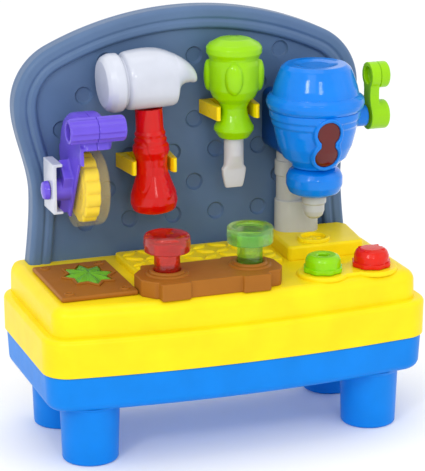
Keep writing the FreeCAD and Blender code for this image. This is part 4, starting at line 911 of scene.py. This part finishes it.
def build_screwdriver():
    profile = rounded([(0, 228.6), (9.2, 228.6, 0.8), (12.4, 229.8, 1.5), (16.5, 236, 1.6),
                       (16.3, 238.6, 1.2), (13.2, 244, 5.0), (11.2, 249, 4.0), (10.7, 254, 4.0),
                       (12.4, 258.5, 5.0), (17.5, 263.2, 6.0), (20.6, 270, 8.0), (21.2, 280, 20.0),
                       (20.9, 290, 4.0), (20.0, 294.2, 1.2), (20.8, 296.4, 1.0), (22.7, 299.5, 1.5),
                       (22.7, 304, 2.5), (20.2, 307, 2.5), (13, 310.8, 6.0), (0, 312.0)], steps=5)
    profile = finer(profile, 1.0)

    def pads(angle, radius, height):
        """Four raised oval pads round the grip."""
        out = radius
        for i in range(4):
            at = math.radians(-20 + 90 * i)
            around = angle_from(angle, at)
            d = math.hypot(around * 21.0 / 7.2, (height - 281.0) / 12.8)
            if d < 1:
                out = max(out, 21.2 + 3.4 * (1 - d ** 2.4) ** 0.6)
        return out

    obj = raw("screwdriver_grip", turn(profile, (DRIVER.x, DRIVER.y, 0), count=180, shape=pads), angle=75)
    piece(obj, "lime", "screwdriver", "screwdriver_handle", weighted=False)
    knots = [(187.5, 7.0, 1.9, 5.0), (188.2, 7.5, 2.2, 5.0), (200.0, 10.0, 3.3, 4.0), (203.0, 10.3, 3.6, 3.6),
             (204.6, 9.2, 4.2, 3.2), (206.5, 8.3, 5.0, 2.8), (211.0, 8.15, 6.6, 2.3), (216.0, 8.1, 8.1, 2.0),
             (229.5, 8.1, 8.1, 2.0)]
    rings = []
    for k in range(60):
        z = 187.5 + (229.5 - 187.5) * k / 59
        half_x, half_y, power = smooth_between(knots, z)
        rings.append([(DRIVER.x + u * half_x, DRIVER.y + v * half_y, z)
                      for u, v in squared_circle(power, 64)])
    piece(raw("screwdriver_shaft", loft(rings), angle=50), "clear_grey", "screwdriver", "screwdriver_blade",
          weighted=False)


# ---- saw ----------------------------------------------------------------------------------
SAW_TEETH = 14


def build_saw():
    for side in ("left", "right"):
        node = "saw_housing_" + side
        piece(soften(node + "_body", node, 0.6, 5), "purple", "saw", node, weighted=False)
    mid, lo, hi = span("saw_guard")
    r_out, g0, g1 = (hi.z - lo.z) / 2, lo.x, hi.x
    shell = rounded([(r_out - 1.6, g0), (r_out, g0, 0.7), (r_out, g1, 5.5), (0, g1), (0, g1 - 1.8),
                     (r_out - 1.6, g1 - 1.8, 4.2)], steps=7)
    piece(raw("saw_guard_body", turn(shell, (0, mid.y, mid.z), axis="x"), angle=50), "clear_amber",
          "saw", "saw_guard", weighted=False)
    knob_mid, knob_lo, knob_hi = span("saw_knob")
    k0, k1, knob_r = knob_lo.x, knob_hi.x, (knob_hi.z - knob_lo.z) / 2
    knob = rounded([(0, k0 - 0.4), (3.0, k0 - 0.4), (4.6, k0, 0.8), (knob_r - 0.8, k0 + 0.6, 1.6),
                    (knob_r, k1, 0.6), (0, k1)], steps=5)
    piece(raw("saw_knob_body", turn(knob, (0, knob_mid.y, knob_mid.z), axis="x", count=64)), "purple",
          "saw_rotor", "saw_knob", "saw_axle")
    piece(soften("saw_shoe_body", "saw_shoe", 0.45, 3), "white", "saw", "saw_shoe", weighted=False)
    mid, lo, hi = span("saw_blade")
    rim = (hi.z - lo.z) / 2
    x0, x1 = lo.x, hi.x
    profile = rounded([(0, x0), (rim - 8, x0), (rim - 6, x0 + 1.0, 1.0), (rim - 2.5, x0 + 1.0, 0.8),
                       (rim, x0 + 2.0, 1.0), (rim, x1 - 1.0, 1.2), (rim - 2.5, x1, 0.8), (22, x1, 0.6),
                       (21.5, x1 - 2.6, 0.6), (8.4, x1 - 2.6, 0.5), (8.0, x1, 0.6), (0, x1)], steps=4)

    def scallop(angle, radius, height):
        """Notches between the teeth, fading out towards the middle."""
        depth = min(1.0, max(0.0, (radius - rim + 5) / 4))
        return radius - 2.6 * depth * (1 - abs(math.sin(SAW_TEETH / 2 * angle))) ** 1.6

    blade = turn(finer(profile, 1.2), (0, mid.y, mid.z), axis="x", count=224, shape=scallop)
    piece(raw("saw_blade_body", blade, angle=60), "clip_yellow", "saw_rotor", "saw_blade", weighted=False)


# ---- drill --------------------------------------------------------------------------------
column_lo, column_hi = span("drill_column")[1:]
COLLAR = 11.8  # radius of the pipe's collar and of its foot
COLUMN = Vector((column_lo.x + COLLAR, column_hi.y - COLLAR))
COLUMN_FOOT = Vector((column_hi.x - COLLAR, column_lo.y + COLLAR))
LENS_STEPS, BEAD_STEPS, BEAD = 96, 10, 1.3
LENS = span("drill_lens")[0]


def lens_outline(t):
    """The rim round the figure-of-eight lens, as (x, z)."""
    radius = 13.2 + 7.2 * abs(math.sin(t)) ** 1.5 - 2.6 * abs(math.cos(t)) ** 6
    return LENS.x + radius * 0.86 * math.cos(t), LENS.z + radius * math.sin(t) * 1.06


def bowl_radius(z):
    """The outer radius of the drill's bowl at a height."""
    knots = [(206, 23.6), (214, 29.2), (224, 33.4), (235, 36.0), (252, 37.4)]
    for a, b in zip(knots, knots[1:]):
        if z <= b[0]:
            return a[1] + (b[1] - a[1]) * (z - a[0]) / (b[0] - a[0])
    return knots[-1][1]


def build_drill():
    axis_point = span("drill_bit")[0]
    at = (axis_point.x, axis_point.y, 0)
    pipe = rounded([(0, 150.0), (10.6, 150.0), (10.6, 190.2, 0.5), (COLLAR, 190.6, 0.8), (COLLAR, 203, 0.8),
                    (10.6, 203.4, 0.5), (10.6, 222), (0, 222)], steps=5)
    piece(raw("drill_column_body", turn(pipe, (COLUMN.x, COLUMN.y, 0))), "pipe_grey", "bench", "drill_column")
    lean = math.atan2(COLUMN_FOOT.y - COLUMN.y, COLUMN_FOOT.x - COLUMN.x)
    rings = []
    for radius, z in ((COLLAR, PLATFORM), (COLLAR, 168.6), (11.6, 169.3), (11.1, 169.8), (10.2, 170.0)):
        ring = []
        for centre, start in ((COLUMN_FOOT, -math.pi / 2), (COLUMN, math.pi / 2)):
            for k in range(25):
                a = lean + start + math.pi * k / 24
                ring.append((centre.x + radius * math.cos(a), centre.y + radius * math.sin(a), z))
        rings.append(ring)
    piece(raw("drill_column_foot", loft(rings)), "pipe_grey", "bench")
    cap = rounded([(30.0, 253.5), (37.4, 253.5, 0.8), (39.4, 256.2, 2.5), (40.1, 259.5, 3.5),
                   (39.2, 263.4, 2.5), (36.4, 265.8, 1.5), (35.4, 266.2, 0.8), (34.3, 272, 20.0),
                   (30.6, 282.5, 20.0), (28.3, 287.5, 3.5), (25.0, 290.3, 2.0), (18.0, 290.3, 2.0),
                   (12.0, 289.2, 3.0), (0, 289.0)], steps=6)
    piece(raw("drill_cap_body", turn([Vector((0, 254.0))] + cap, at, count=128)), "drill_blue", "bench",
          "drill_cap")
    for node, slot, body in (("drill_body", "drill_blue", "bench"), ("drill_bracket", "drill_dark", "bench"),
                             ("drill_lens", "clear_dark_red", "bench"), ("crank_arm", "lime", "crank"),
                             ("crank_grip", "lime", "crank_grip")):
        voxel = 0.62 if node == "drill_body" else 0.5  # coarser on the large one, to keep its mesh light
        piece(soften(node + "_shell", node, voxel, 5), slot, body, node, weighted=False)
    surround = [lens_outline(2 * math.pi * k / LENS_STEPS) for k in range(LENS_STEPS)]
    rings = []
    for m in range(BEAD_STEPS):
        a = 2 * math.pi * m / BEAD_STEPS
        ring = []
        for k, (x, z) in enumerate(surround):
            before, after = Vector(surround[k - 1]), Vector(surround[(k + 1) % LENS_STEPS])
            along = (after - before).normalized()
            out_x, out_z = along.y, -along.x
            px, pz = x + out_x * BEAD * math.cos(a), z + out_z * BEAD * math.cos(a)
            depth = bowl_radius(pz) ** 2 - (px - axis_point.x) ** 2
            ring.append((px, axis_point.y - math.sqrt(max(depth, 1.0)) - 0.6 - 1.4 * math.sin(a), pz))
        rings.append(ring)
    rings.append(rings[0])
    piece(raw("lens_surround", loft(rings, caps=False), angle=70), "drill_blue", "bench", weighted=False)
    chuck = rounded([(0, 204.9), (15.5, 204.9, 2.0), (20.9, 202.5, 4.0), (23.2, 197.5, 6.0),
                     (23.2, 190.5, 5.0), (20.8, 184.5, 4.0), (15.0, 181.6, 2.5), (9.0, 181.5), (0, 181.5)],
                    steps=6)
    piece(raw("drill_chuck_body", turn(chuck, at)), "drill_blue", "drill_spindle", "drill_chuck")
    bit = rounded([(0, 182.4), (10.0, 182.0, 0.4), (10.0, 175, 0.8), (8.7, 173.6, 0.6), (8.6, 168, 3.0),
                   (7.2, 164, 2.5), (4.2, 161.6, 2.0), (0, 161)], steps=5)
    piece(raw("drill_bit_body", turn(bit, at, count=64)), "pipe_grey", "drill_spindle", "drill_bit")


build_tray()
for leg in ("leg_front_left", "leg_front_right", "leg_rear_left", "leg_rear_right"):
    build_leg(leg)
build_bench_top()
build_star()
build_beam()
build_peg("red_peg", "clear_red", False)
build_peg("green_peg", "clear_green", True)
build_nut("green_nut", "nut_green", False)
build_nut("red_nut", "nut_red", True)
build_panel()
build_clip("hammer_clip")
build_clip("screwdriver_clip")
build_hammer()
build_screwdriver()
build_saw()
build_drill()


# ---- floor, light and camera --------------------------------------------------------------
# Lights as name, place and size in metres, and power in watts.
LIGHTS = (("key", (-1.3, -1.9, 2.0), 1.2, 7), ("fill", (1.9, -1.3, 1.1), 1.6, 3),
          ("spark", (-1.5, -1.5, 1.4), 0.34, 7), ("glint", (-0.2, -2.2, 1.2), 0.34, 5),
          ("top", (0.0, 0.1, 2.4), 1.2, 5))
LIT_POINT = Vector((0, 0, 0.16))
CAMERA_PLACE = (-0.5613, -1.5441, 0.6423)
CAMERA_TARGET = Vector((-0.0013, 0.006, 0.1578))
FOCAL_LENGTH = 163.4


def build_stage():
    """A pale floor, a white world, five area lights and the photo's camera."""
    floor = raw("floor", block(-6000, 6000, -6000, 6000, -20, 0))
    mat = bpy.data.materials.new("floor_white")
    mat.use_nodes = True
    tree = mat.node_tree
    shader = tree.nodes["Principled BSDF"]
    noise = tree.nodes.new("ShaderNodeTexNoise")
    noise.inputs["Scale"].default_value = 3.0
    ramp = tree.nodes.new("ShaderNodeValToRGB")
    ramp.color_ramp.elements[0].color = (0.955, 0.955, 0.955, 1)
    ramp.color_ramp.elements[1].color = (0.975, 0.975, 0.975, 1)
    tree.links.new(noise.outputs["Fac"], ramp.inputs["Fac"])
    tree.links.new(ramp.outputs["Color"], shader.inputs["Base Color"])
    shader.inputs["Roughness"].default_value = 0.9
    floor.data.materials.append(mat)
    bpy.context.scene.view_settings.view_transform = "Standard"
    world = bpy.data.worlds.new("studio")
    bpy.context.scene.world = world
    world.use_nodes = True
    world.node_tree.nodes["Background"].inputs["Color"].default_value = (1, 1, 1, 1)
    world.node_tree.nodes["Background"].inputs["Strength"].default_value = 1.0
    for name, place, size, power in LIGHTS:
        light = bpy.data.lights.new(name, "AREA")
        light.energy = power
        light.size = size
        lamp = bpy.data.objects.new(name, light)
        bpy.context.scene.collection.objects.link(lamp)
        lamp.location = place
        lamp.rotation_euler = (LIT_POINT - Vector(place)).to_track_quat("-Z", "Y").to_euler()
    data = bpy.data.cameras.new("camera")
    data.sensor_fit = "VERTICAL"
    data.sensor_height = 36.0
    data.lens = FOCAL_LENGTH
    camera = bpy.data.objects.new("camera", data)
    bpy.context.scene.collection.objects.link(camera)
    camera.location = CAMERA_PLACE
    camera.rotation_euler = (CAMERA_TARGET - Vector(camera.location)).to_track_quat("-Z", "Y").to_euler()
    bpy.context.scene.camera = camera


build_stage()
